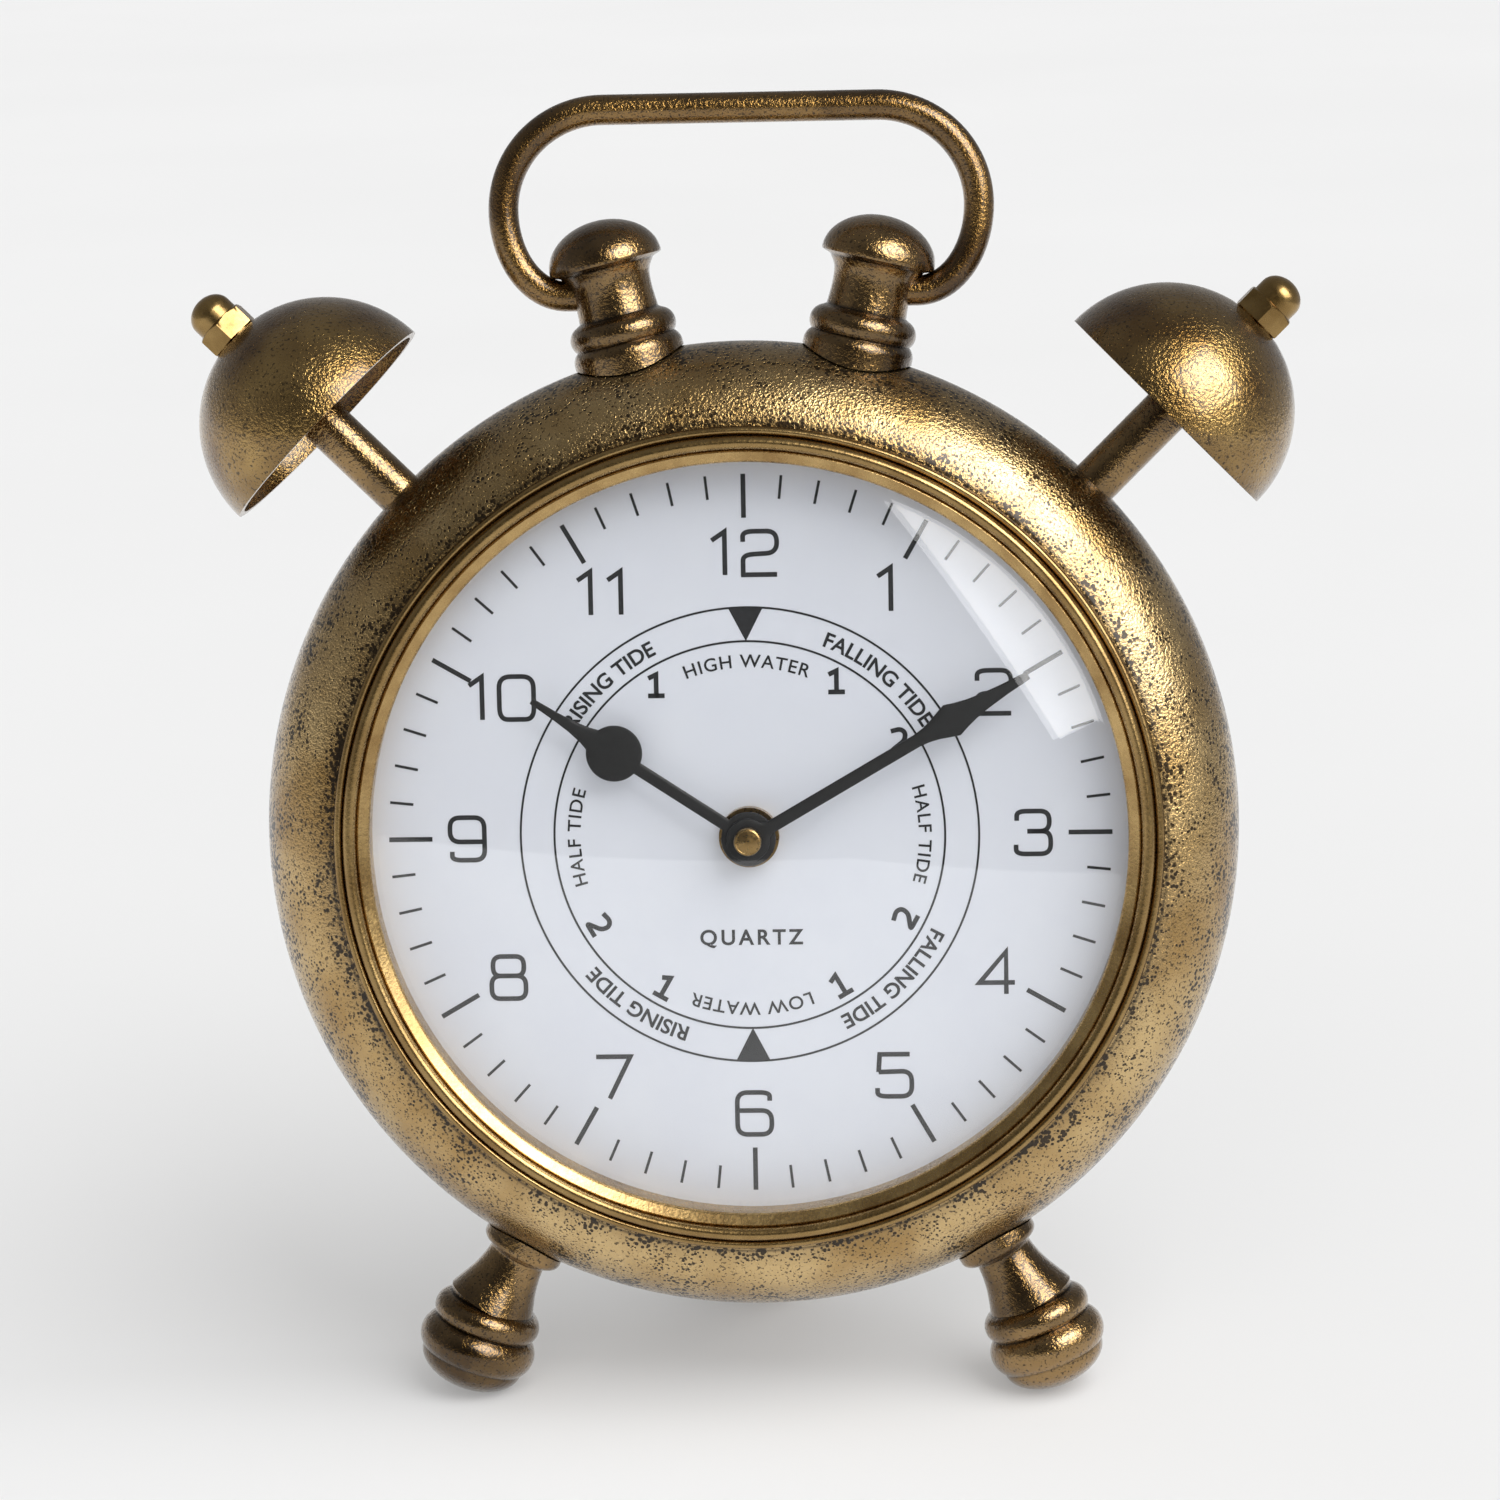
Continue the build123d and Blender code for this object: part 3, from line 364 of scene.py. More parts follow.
# Back and movement: fine-grained black paint, moulded plastics, dull zinc, lacquered copper
coverBlack = plainSurface("mattBlackCoverPaint", "#26262A", "#18181A", mottleMm=1.11, rough=0.5, bump=0.15)
movementPlastic = plainSurface("blackMovementPlastic", "#1E1F21", "#141516", mottleMm=2.0, rough=0.45)
wheelPlastic = plainSurface("whiteWheelPlastic", "#E4E2D8", "#D2CFC2", mottleMm=2.5, rough=0.4)
zincSteel = plainSurface("zincPlatedSteel", "#B4B6B8", "#909294", mottleMm=2.0, rough=0.3, metallic=1.0)
blackRubber = plainSurface("blackRubber", "#1A1A1A", "#101010", mottleMm=2.0, rough=0.8)
boardGreen = plainSurface("greenCircuitBoard", "#2F6B3C", "#1F4E2B", mottleMm=3.33, rough=0.45)
copperWire = plainSurface("enamelledCopperWire", "#B4672F", "#8A4A1E", mottleMm=0.667, rough=0.35,
    metallic=1.0, bump=0.3)
cellWrap = plainSurface("batteryWrap", "#3E5C86", "#2C4567", mottleMm=12.5, rough=0.35)
glassClear = clearGlass("clearDomedGlass")
print("materials ready")

# Case: hollow ring, round in section
caseSpec = {"ring": ringRadius, "tube": 20.0, "wall": 3.0, "mouth": 79.0, "mouthWall": 3.0, "front": 19.55,
    "rear": 19.6, "cover": 77.4, "ledge": 18.0, "ledgeWide": 5.0, "step": 3.0, "dialBack": -10.5,
    "flangeWide": 6.0, "flange": 2.5, "wearOut": 90.0, "wearOutWide": 9.0, "wearIn": 87.0, "wearInWide": 5.0}


def caseProfile(s):
    # outer circle, ledge of the cover, inner circle and seat of the bezel, in one loop
    inner = s["tube"] - s["wall"]
    a0 = -math.degrees(math.asin(s["front"] / s["tube"]))
    a1 = math.degrees(math.asin(s["rear"] / s["tube"]))
    outer = arc(s["ring"], 0, s["tube"], s["tube"], a0, a1, 90)
    ledgeIn, ledgeLow = s["cover"] - s["ledgeWide"], s["ledge"] - s["step"]
    rim = np.array([[s["cover"], s["rear"]], [s["cover"], s["ledge"]], [ledgeIn, s["ledge"]],
        [ledgeIn, ledgeLow], [s["cover"] + 1.5, ledgeLow]])
    within = arc(s["ring"], 0, inner, inner, 87, -73, 40)
    collar, flangeIn = s["mouth"] + s["mouthWall"], s["mouth"] - s["flangeWide"]
    flangeLow = s["dialBack"] + s["flange"]
    seat = np.array([[collar, flangeLow], [flangeIn, flangeLow], [flangeIn, s["dialBack"]],
        [s["mouth"], s["dialBack"]], [s["mouth"], -s["front"]]])
    return np.vstack([outer, rim, within, seat])


caseOutline = caseProfile(caseSpec)
caseRadius = caseOutline[:, 0]
outerWear = (caseRadius - caseSpec["wearOut"]) / caseSpec["wearOutWide"]
innerWear = (caseSpec["wearIn"] - caseRadius) / caseSpec["wearInWide"]
caseWear = np.maximum(outerWear, innerWear)
caseRing = lathe("caseRing", caseOutline, dialPlace, turns=320, closed=True, sharp=35, reach=2.0,
    wear=caseWear)
dress(caseRing, caseBrass, "clock", "case_shell")
print("case done")

# Bezel: lip, round bead and thin bead, pressed into the case mouth
bezelSpec = {"lip": 75.0, "bore": 77.3, "spigot": 78.95, "out": 82.1, "lipY": -19.9, "seat": -19.55,
    "foot": -11.5, "lipRise": 1.65, "beadRise": 1.6, "thinWide": 1.5, "thinRise": 0.75, "wearWide": 0.6}


def bezelProfile(s):
    # sloped lip, half-round bead, thin bead, then the back and the spigot
    top = s["lipY"] - s["lipRise"]
    lip = dense(np.array([[s["lip"], s["lipY"]], [s["lip"] + 0.25, s["lipY"] - 0.5], [s["bore"] - 0.25, top],
        [s["bore"], top + 0.12], [s["bore"] + 0.25, top + 0.45]]), 0.2)
    thinIn = s["out"] - 0.15 - s["thinWide"]
    beadHalf = (thinIn - 0.2 - s["bore"] - 0.25) / 2
    bead = arc(s["bore"] + 0.25 + beadHalf, top + 0.35, beadHalf, s["beadRise"], 180, 360, 26)
    thin = arc(thinIn + s["thinWide"] / 2, top + 0.6, s["thinWide"] / 2, s["thinRise"], 180, 360, 16)
    rest = np.array([[s["out"], top + 0.9], [s["out"], s["seat"]], [s["spigot"], s["seat"]],
        [s["spigot"], s["foot"]], [s["bore"], s["foot"]], [s["bore"], s["lipY"]]])
    return np.vstack([lip, bead, [[thinIn - 0.1, top + 0.75]], thin, rest])


bezelOutline = bezelProfile(bezelSpec)
bezelWear = (bezelOutline[:, 0] - bezelSpec["bore"]) / bezelSpec["wearWide"]
bezelBead = lathe("bezelBead", bezelOutline, dialPlace, turns=360, closed=True, sharp=50, reach=0.9,
    wear=bezelWear)
dress(bezelBead, bezelBrass, "clock", "bezel_ring")

# Domed glass
glassSpec = {"edge": 77.2, "dome": 75.3, "front": 19.25, "back": 17.45, "rise": 11.0}


def glassProfile(s):
    # sphere cap: radius of curvature from the rim radius and the rise
    def cap(rim, y):
        curve = (rim ** 2 + s["rise"] ** 2) / (2 * s["rise"])
        r = np.linspace(0, rim, 40)
        return np.column_stack([r, -y - s["rise"] + curve - np.sqrt(curve ** 2 - r ** 2)])
    return np.vstack([cap(s["dome"] - 0.9, s["back"]), [[s["edge"], -s["back"]], [s["edge"], -s["front"]]],
        cap(s["dome"], s["front"])[::-1]])


glassDome = lathe("glassDome", glassProfile(glassSpec), dialPlace, sharp=30)
dress(glassDome, glassClear, "clock", "lens_glass")
print("bezel and glass done")

# Bells: half-round shells on the stems
bellSpec = {"angle": 45.4, "radius": 25.5, "wall": 1.5, "rim": 39.6, "seat": 6.0, "hole": 3.2, "stem": 4.9,
    "wearTall": 5.0}


def bellProfile(s):
    # outer quarter circle, hole for the stem, inner quarter circle
    inner = s["radius"] - s["wall"]
    start = math.degrees(math.acos(s["seat"] / s["radius"]))
    stop = math.degrees(math.acos(s["stem"] / inner))
    outer = arc(0, s["rim"], s["radius"], s["radius"], 0, start, 60)
    within = arc(0, s["rim"], inner, inner, stop, 0, 40)
    neck = np.array([[s["hole"], outer[-1, 1]], [s["hole"], within[0, 1]]])
    return np.vstack([outer, neck, within])


bellOutline = bellProfile(bellSpec)
bellWear = 1.0 - (bellOutline[:, 1] - bellSpec["rim"]) / bellSpec["wearTall"]
for side, label in ((-1, "left"), (1, "right")):
    seat = radialPlace(side * bellSpec["angle"])
    shell = lathe(label + "BellShell", bellOutline, seat, turns=160, closed=True, sharp=45, wear=bellWear)
    dress(shell, bellBrass, "clock", label + "_bell")

# Acorn nuts: hexagon below, round dome above
nutSpec = {"seat": bellSpec["rim"] + math.sqrt(bellSpec["radius"] ** 2 - bellSpec["seat"] ** 2),
    "flats": 10.0, "hex": 4.9, "dome": 4.6, "height": 10.6, "sharp": 32}


def acornShape(s, turns=96):
    # radius is the smaller of the hexagon's wall and the chamfer cone below the dome
    straight = s["hex"] + 0.35 * (s["height"] - s["hex"])
    dome = arc(0, straight, s["dome"], s["height"] - straight, 0, 90, 18)
    h = np.concatenate([[0.0, 0.35], np.linspace(0.7, s["hex"] - 0.6, 4),
        np.linspace(s["hex"] - 0.4, s["hex"], 4)])
    a = np.linspace(0, 2 * math.pi, turns, endpoint=False)
    hexWall = s["flats"] / 2 / np.cos((a + math.pi / 6) % (math.pi / 3) - math.pi / 6)
    cone = np.minimum(s["flats"] / 2 * 0.98 + h * 2.2, s["flats"] / 2 * 0.97 + (s["hex"] - h) * 1.6)
    low = np.minimum(hexWall[None], cone[:, None])
    high = np.repeat(np.concatenate([[s["dome"]], dome[:, 0]])[:, None], turns, axis=1)
    radius = np.vstack([low, high])
    height = np.concatenate([h, [s["hex"]], dome[:, 1]])[:, None] + 0 * a
    return np.stack([radius * np.cos(a), radius * np.sin(a), s["seat"] + height], axis=-1)


nutGrid = acornShape(nutSpec)
nutPoints = nutGrid.reshape(-1, 3)
nutVerts = np.vstack([toRow(radialPlace(side * bellSpec["angle"])(nutPoints)) for side in (-1, 1)])
nutFaces = gridFaces(nutGrid.shape[0], nutGrid.shape[1], False, True)
nutFaces = np.vstack([nutFaces, nutFaces + len(nutPoints)])
acornNuts = newMesh("acornNuts", nutVerts, nutFaces, nutSpec["sharp"])
closePoles(acornNuts)
acornNuts.data.set_sharp_from_angle(angle=math.radians(nutSpec["sharp"]))
dress(acornNuts, nutBrass, "clock", "bell_acorn_nuts")
print("bells done")

# Handle posts: two beads, a waisted neck and a mushroom cap
postSpec = {"angle": 13.4, "base": 11.1, "groove": 10.0, "bead": 10.75, "neck": 7.9, "cap": 11.4, "h0": 20.0,
    "h1": 22.9, "h2": 27.9, "h3": 38.5, "h4": 47.5}


def saddle(p, tube=20.3):
    # drops the skirt onto the case: height of the ring's surface under each point
    y = p[:, 1]
    out = np.sqrt(np.maximum(0, tube ** 2 - y ** 2)) + ringRadius
    drop = np.sqrt(np.maximum(0, out ** 2 - p[:, 0] ** 2)) - ringRadius
    return np.maximum(p[:, 2], drop)


def seated(place):
    # lifts points onto the case before they are placed
    def put(p):
        q = p.copy()
        q[:, 2] = saddle(q)
        return place(q)
    return put


def postProfile(s):
    # skirt, base ring, bead, waisted neck and domed cap, outwards from the case
    h0, h1, h2, h3 = s["h0"], s["h1"], s["h2"], s["h3"]
    skirt = dense(np.array([[s["base"], 16.0], [s["base"], h0 + 0.4]]), 0.4)
    low = arcThrough((s["base"], h0 + 0.4), (s["base"] - 0.25, (h0 + h1) / 2 + 0.3), (s["groove"], h1), 12)
    bead = arcThrough((s["groove"], h1), (s["bead"], (h1 + h2) / 2), (s["neck"] + 0.9, h2), 26)
    waist = np.array([[0.2, h2 + 0.4], [0.05, h2 + 2.6], [0.0, (h2 + h3) / 2], [0.35, h3 - 2.6],
        [1.6, h3 - 0.5]])
    neck = smoothThrough(waist + [s["neck"], 0.0], 30)
    rim = np.array([[s["cap"] - 0.5, h3], [s["cap"] - 0.1, h3 + 0.2], [s["cap"], h3 + 0.6]])
    top = arc(0, h3 + 0.6, s["cap"], s["h4"] - h3 - 0.6, 3, 90, 30)
    return np.vstack([skirt, low[1:], bead[1:], neck, rim, top])


for side, label in ((-1, "left"), (1, "right")):
    seat = seated(radialPlace(side * postSpec["angle"]))
    post = lathe(label + "PostTurning", postProfile(postSpec), seat, turns=128)
    dress(post, turnedBrass, "clock", label + "_handle_post")

# Feet: collar, waisted neck, and a knob of two beads and a dome that bends toward the upright
footSpec = {"angle": 29.4, "tilt": 67.36, "rearMore": 8.0, "bend": 8.6, "collar": 8.5, "neck": 6.0,
    "flare": 9.2, "h1": 22.4, "h2": 34.6, "seam": 8.8, "bead": 11.1, "groove": 10.2, "ball": 12.1,
    "dome": 10.6, "k1": 5.4, "k2": 12.4, "rise": 6.0}


def footProfile(s, more):
    # collar, flaring neck, two beads and a domed end, outwards from the case
    h1, h2 = s["h1"], s["h2"] + more
    k1, k2 = h2 + s["k1"], h2 + s["k2"]
    collar = dense(np.array([[s["collar"], 16.0], [s["collar"], h1 - 1.2]]), 0.4)
    edge = arcThrough((s["collar"], h1 - 1.2), (s["collar"] - 0.3, h1 - 0.5), (s["collar"] - 0.9, h1), 8)
    neck = smoothThrough(np.array([[s["neck"] + 0.5, h1 + 0.5], [s["neck"], h1 + 1.4],
        [s["neck"] + 0.9, h1 + 6.2 + more / 2], [s["flare"], h2]]), 30)
    bead = arcThrough((s["seam"], h2 + 0.02), (s["bead"], h2 + s["k1"] * 0.52), (s["groove"], k1), 24)
    ball = arcThrough((s["groove"], k1), (s["ball"], (k1 + k2) / 2), (s["dome"] + 0.2, k2), 28)
    dome = arc(0, k2 + 0.2, s["dome"], s["rise"], 0, 90, 26)
    return np.vstack([collar, edge[1:], neck, bead, ball[1:], dome])


def bentKnob(place, bend, start):
    # what lies beyond the neck turns about the neck's end by the bend
    t = math.radians(bend)

    def put(p):
        x, z = p[:, 0], p[:, 2] - start
        turned = np.column_stack([x * math.cos(t) + z * math.sin(t), p[:, 1],
            start + z * math.cos(t) - x * math.sin(t)])
        return place(np.where((z > 0.01)[:, None], turned, p))
    return put


def flatSole(piece):
    # heights below the table become zero
    co = np.empty(len(piece.data.vertices) * 3)
    piece.data.vertices.foreach_get("co", co)
    co = co.reshape(-1, 3)
    co[:, 2] = np.maximum(co[:, 2], 0.0)
    piece.data.vertices.foreach_set("co", co.ravel())


footPlaces = {
    "left": (radialPlace(180 + footSpec["angle"]), -footSpec["bend"], "left_front_foot"),
    "right": (radialPlace(180 - footSpec["angle"]), footSpec["bend"], "right_front_foot"),
    "rear": (radialPlace(180, footSpec["tilt"]), 0.0, "rear_foot"),
}
for label, (place, bend, node) in footPlaces.items():
    put = place if label == "rear" else seated(bentKnob(place, bend, footSpec["h2"]))
    more = footSpec["rearMore"] if label == "rear" else 0.0
    foot = lathe(label + "FootTurning", footProfile(footSpec, more), put, turns=128)
    flatSole(foot)
    dress(foot, turnedBrass, "clock", node)
print("posts and feet done")

# Handle: bent rod that swings in the posts
handleSpec = {"rod": 3.0, "side": 47.2, "pivot": 107.3, "pin": 25.4, "lowWide": 12.3, "lowTall": 17.0,
    "highWide": 20.0, "highTall": 19.6}


def handlePath(s):
    # pin, two quarter ellipses and half of the bar, then the mirror image
    middle = s["pivot"] + s["lowTall"]
    low = arc(s["side"] - s["lowWide"], middle, s["lowWide"], s["lowTall"], -90, 0, 24)
    high = arc(s["side"] - s["highWide"], middle, s["highWide"], s["highTall"], 0, 90, 32)
    half = dense(np.vstack([[[s["pin"], s["pivot"]]], low, high[1:], [[0.0, middle + s["highTall"]]]]), 1.2)
    whole = np.vstack([half, (half * [-1, 1])[::-1][1:]])
    return np.column_stack([whole[:, 0], 0 * whole[:, 0], whole[:, 1]])


def rodAlong(name, path, radius, turns=40):
    # circle of constant radius carried along the path: centre + r (cos a side + sin a across)
    along = np.gradient(path, axis=0)
    along /= np.linalg.norm(along, axis=1)[:, None]
    across = np.tile([0.0, 1.0, 0.0], (len(path), 1))
    side = np.cross(along, across)
    a = np.linspace(0, 2 * math.pi, turns, endpoint=False)[None, :, None]
    ring = path[:, None] + radius * (np.cos(a) * side[:, None] + np.sin(a) * across[:, None])
    verts = np.vstack([ring.reshape(-1, 3), path[:1], path[-1:]])
    faces = gridFaces(len(path), turns, False, True).tolist()
    n = len(path) * turns
    j = np.arange(turns)
    faces += np.column_stack([0 * j + n, (j + 1) % turns, j]).tolist()
    faces += np.column_stack([0 * j + n + 1, n - turns + j, n - turns + (j + 1) % turns]).tolist()
    piece = newMesh(name, toRow(verts), faces)
    setFloat(piece, "recess", np.zeros(len(verts)))
    setFloat(piece, "wear", np.zeros(len(verts)))
    return piece


handleRod = rodAlong("handleRod", handlePath(handleSpec), handleSpec["rod"])
dress(handleRod, rodBrass, "handle", "handle_loop")
print("handle done")


# Hands: outline width along the hand, thin crowned sheet
def handSheet(name, along, width, angle, yFront, yBack):
    # crowned strip: across u in -1..1 the sheet is half-width w(s) wide and bends back at its edges
    u = np.array([-1.0, -0.97, -0.85, -0.45, 0.0, 0.45, 0.85, 0.97, 1.0])
    lift = np.array([0.75, 0.25, 0.06, 0.0, 0.0, 0.0, 0.06, 0.25, 0.75])
    t = math.radians(angle)
    layers = []
    for front in (True, False):
        across = np.outer(width, u)
        crowned = np.tile(yFront + (yBack - yFront) * lift, (len(along), 1))
        depth = crowned if front else np.full_like(across, yBack)
        s = along[:, None] + 0 * across
        layers.append(np.stack([s * math.sin(t) + across * math.cos(t), depth,
            s * math.cos(t) - across * math.sin(t)], axis=-1))
    loop = np.concatenate([layers[0], layers[1][:, ::-1]], axis=1)
    piece = newMesh(name, toRow(loop.reshape(-1, 3)), gridFaces(len(along), loop.shape[1], False, True), 35)
    closePoles(piece)
    return piece


def hubWidth(s, radius):
    # half-width of a disc: root of radius squared less distance squared
    return np.sqrt(np.maximum(0, radius ** 2 - s ** 2))


def between(s, x, y):
    # half-width read between knots, nothing outside them
    return np.where((s >= x[0]) & (s <= x[-1]), np.interp(s, x, y), 0)


def hubRun(radius):
    # distances behind the pivot, closer together at the rim
    return -radius * np.cos(np.linspace(0, math.pi / 2, 16))


hourSpec = {"length": 51.0, "angle": 303.5, "hub": 5.45, "shaft": 1.25, "disc": 31.6, "discR": 5.6,
    "taper": 36.6, "y": -16.0, "thick": 0.6}


def hourOutline(s):
    # widest of hub, shaft, disc and tip at each distance along the hand
    along = np.unique(np.concatenate([hubRun(s["hub"]), np.linspace(0, s["disc"] - s["discR"], 40),
        s["disc"] - s["discR"] * np.cos(np.linspace(0, math.pi, 48)),
        np.linspace(s["taper"], s["length"], 40)]))
    tip = between(along, s["taper"] + np.array([0, 1.9, 4.9, 8.9, s["length"] - s["taper"]]),
        np.array([2.35, 1.75, 1.2, 0.85, 0.6]))
    shaft = np.where((along > 0) & (along < s["disc"]), s["shaft"], 0)
    return along, np.maximum.reduce([hubWidth(along, s["hub"]), hubWidth(along - s["disc"], s["discR"]),
        shaft, tip])


hourSheet = handSheet("hourSheet", *hourOutline(hourSpec), hourSpec["angle"],
    hourSpec["y"] - hourSpec["thick"], hourSpec["y"])
dress(hourSheet, handBlack, "hour_set", "hour_hand")

minuteSpec = {"length": 64.3, "angle": 60.0, "hub": 4.35, "shaft": 1.3, "head": 38.9, "peak": 46.9,
    "peakR": 3.45, "y": -17.4, "thick": 0.6}


def minuteOutline(s):
    # widest of hub, shaft and spear head at each distance along the hand
    along = np.unique(np.concatenate([hubRun(s["hub"]), np.linspace(0, s["head"], 50),
        np.linspace(s["head"], s["length"], 90)]))
    rise = [(s["head"], s["shaft"]), (s["head"] + 2.1, 1.55), (s["head"] + 4.1, 2.05), (s["peak"] - 1.9, 2.8),
        (s["peak"], s["peakR"])]
    fall = [(s["peak"] + 2.1, 2.75), (s["peak"] + 4.6, 2.1), (s["peak"] + 7.6, 1.62),
        (s["peak"] + 12.1, 1.15), (s["length"], 0.8)]
    head = between(along, *np.array(rise + fall).T)
    shaft = np.where((along > 0) & (along < s["head"] + 0.1), s["shaft"], 0)
    return along, np.maximum.reduce([hubWidth(along, s["hub"]), shaft, head])


minuteSheet = handSheet("minuteSheet", *minuteOutline(minuteSpec), minuteSpec["angle"],
    minuteSpec["y"] - minuteSpec["thick"], minuteSpec["y"])
dress(minuteSheet, handBlack, "minute_set", "minute_hand")

# Hand nut: turned cap with a shallow cone on its face
capSpec = {"radius": 2.75, "back": -18.0, "height": 2.9}


def capProfile(s):
    # straight side, rounded rim, shallow cone and flat middle
    r, back, face = s["radius"], s["back"], s["back"] - s["height"]
    side = np.array([[0, back], [r, back], [r, face + 0.7], [r - 0.12, face + 0.42], [r - 0.4, face + 0.28]])
    cone = dense(np.array([[r - 0.5, face + 0.32], [r - 1.85, face + 0.06]]), 0.15)
    return np.vstack([side, cone, [[r - 2.05, face], [0, face]]])


handCap = lathe("handCap", capProfile(capSpec), dialPlace, turns=64, sharp=25, reach=0.3)
dress(handCap, nutBrass, "minute_set", "minute_hand_cap")
print("hands done")

# Dial print: flat ink just in front of the dial face, in millimetres on the dial (x right, z up)
dialFace = -11.5
inkLift = 0.06


class Ink:
    def __init__(self):
        self.verts = []
        self.faces = []
        self.count = 0

    def strip(self, left, right):
        n = len(left)
        self.verts.append(np.vstack([left, right]))
        k = np.arange(n - 1) + self.count
        self.faces += np.column_stack([k, k + 1, k + n + 1, k + n]).tolist()
        self.count += 2 * n

    def loose(self, points, faces):
        self.verts.append(points)
        self.faces += (np.asarray(faces) + self.count).tolist()
        self.count += len(points)

    def piece(self, name, material):
        flat = np.vstack(self.verts)
        head = np.column_stack([flat[:, 0], np.full(len(flat), dialFace - inkLift), flat[:, 1]])
        dress(newMesh(name, toRow(head), self.faces), material, "clock", None)


def polar(radius, degrees):
    # x and z from a radius and degrees clockwise from twelve
    t = np.radians(degrees)
    return np.column_stack([radius * np.sin(t), radius * np.cos(t)])


# Minute track, tide rings and their two pointers
printSpec = {"tickOut": 72.2, "hourTick": 8.7, "minuteTick": 4.7, "hourWide": 0.95, "minuteWide": 0.55,
    "ringIn": 39.0, "ringOut": 45.75, "ringWide": 0.42, "pointer": 4.3, "figures": 56.5, "figureTall": 8.6,
    "penWide": 0.95, "small": 35.3, "smallTall": 4.6, "wordsIn": 33.8, "wordsBand": 40.8, "lineDown": 22.0}
marks = Ink()
for minute in range(60):
    kind = "hour" if minute % 5 == 0 else "minute"
    long, wide = printSpec[kind + "Tick"], printSpec[kind + "Wide"]
    line = polar(printSpec["tickOut"] - np.array([long, 0.0]), np.full(2, minute * 6.0))
    off = polar(np.array([wide / 2]), np.array([minute * 6.0 + 90]))
    marks.strip(line - off, line + off)
circle = np.linspace(0, 360, 241)
halfLine = printSpec["ringWide"] / 2
for radius in (printSpec["ringIn"], printSpec["ringOut"]):
    inner, outer = (np.full(len(circle), radius + off) for off in (-halfLine, halfLine))
    marks.strip(polar(inner, circle), polar(outer, circle))
for water in (0.0, 180.0):
    base = polar(np.full(2, printSpec["ringOut"]), water + printSpec["pointer"] * np.array([-1, 1]))
    tip = polar(np.array([printSpec["ringIn"]]), np.array([water]))
    marks.loose(np.vstack([base, tip]), [[0, 1, 2]])
marks.piece("dialMarks", printInk)

# Figures: pen strokes with rounded corners in a box 0.8 wide and 1 high
strokes = {
    "0": [([(0.4, 0), (0.8, 0), (0.8, 1), (0, 1), (0, 0), (0.4, 0)], 0.27)],
    "1": [([(0.14, 0.8), (0.44, 1.0), (0.44, 0)], 0.0)],
    "i": [([(0.1, 0.84), (0.44, 1.0), (0.44, 0)], 0.0), ([(0.08, 0.08), (0.8, 0.08)], 0.0)],
    "z": [([(0.08, 0.92), (0.5, 1.02), (0.72, 0.84), (0.66, 0.5), (0.1, 0.08), (0.78, 0.08)], 0.16)],
    "2": [([(0.02, 0.76), (0.02, 1), (0.8, 1), (0.8, 0.5), (0.02, 0.46), (0.02, 0.2)], 0.24),
        ([(0.02, 0.22), (0.02, 0), (0.8, 0)], 0.0)],
    "3": [([(0.02, 0.78), (0.02, 1), (0.77, 1), (0.77, 0.53), (0.26, 0.53)], 0.22),
        ([(0.4, 0.53), (0.8, 0.53), (0.8, 0), (0, 0), (0, 0.22)], 0.23)],
    "4": [([(0.62, 0), (0.62, 1.0), (0.0, 0.27), (0.82, 0.27)], 0.0)],
    "5": [([(0.76, 1), (0.06, 1), (0.03, 0.58)], 0.0),
        ([(0.03, 0.58), (0.8, 0.6), (0.8, 0), (0, 0), (0, 0.2)], 0.24)],
    "6": [([(0.76, 0.8), (0.76, 1), (0, 1), (0, 0), (0.8, 0), (0.8, 0.57), (0.03, 0.57)], 0.24)],
    "7": [([(0, 1), (0.8, 1), (0.3, 0)], 0.0)],
    "8": [([(0.4, 0.54), (0.76, 0.54), (0.76, 1), (0.04, 1), (0.04, 0.54), (0.4, 0.54)], 0.2),
        ([(0.4, 0), (0.8, 0), (0.8, 0.54), (0, 0.54), (0, 0), (0.4, 0)], 0.22)],
    "9": [([(0.04, 0.2), (0.04, 0), (0.8, 0), (0.8, 1), (0, 1), (0, 0.43), (0.77, 0.43)], 0.24)],
}


def rounded(points, radius):
    # each inner corner becomes a quadratic curve that starts and ends one radius away
    p = np.array(points, float)
    out = [p[0]]
    for a, b, c in zip(p[:-2], p[1:-1], p[2:]):
        da, dc = np.hypot(*(a - b)), np.hypot(*(c - b))
        ra, rc = min(radius, da * 0.5), min(radius, dc * 0.5)
        if ra < 1e-6:
            out.append(b)
            continue
        start, end = b + (a - b) / da * ra, b + (c - b) / dc * rc
        t = np.linspace(0, 1, 9)[:, None]
        out.extend((1 - t) ** 2 * start + 2 * t * (1 - t) * b + t ** 2 * end)
    out.append(p[-1])
    return np.array(out)


def penLine(ink, path, wide):
    # band of even width: path plus and minus half of it along the mitred normal
    keep = np.concatenate([[True], np.hypot(*np.diff(path, axis=0).T) > 1e-6])
    path = path[keep]
    step = np.diff(path, axis=0)
    step /= np.linalg.norm(step, axis=1)[:, None]
    before, after = np.vstack([step[:1], step]), np.vstack([step, step[-1:]])
    normal = np.column_stack([-(before + after)[:, 1], (before + after)[:, 0]])
    normal /= np.linalg.norm(normal, axis=1)[:, None]
    side = np.column_stack([-after[:, 1], after[:, 0]])
    mitre = np.clip(1 / np.maximum(0.35, np.einsum("ij,ij->i", normal, side)), 1, 2.4)[:, None]
    ink.strip(path + normal * mitre * wide / 2, path - normal * mitre * wide / 2)


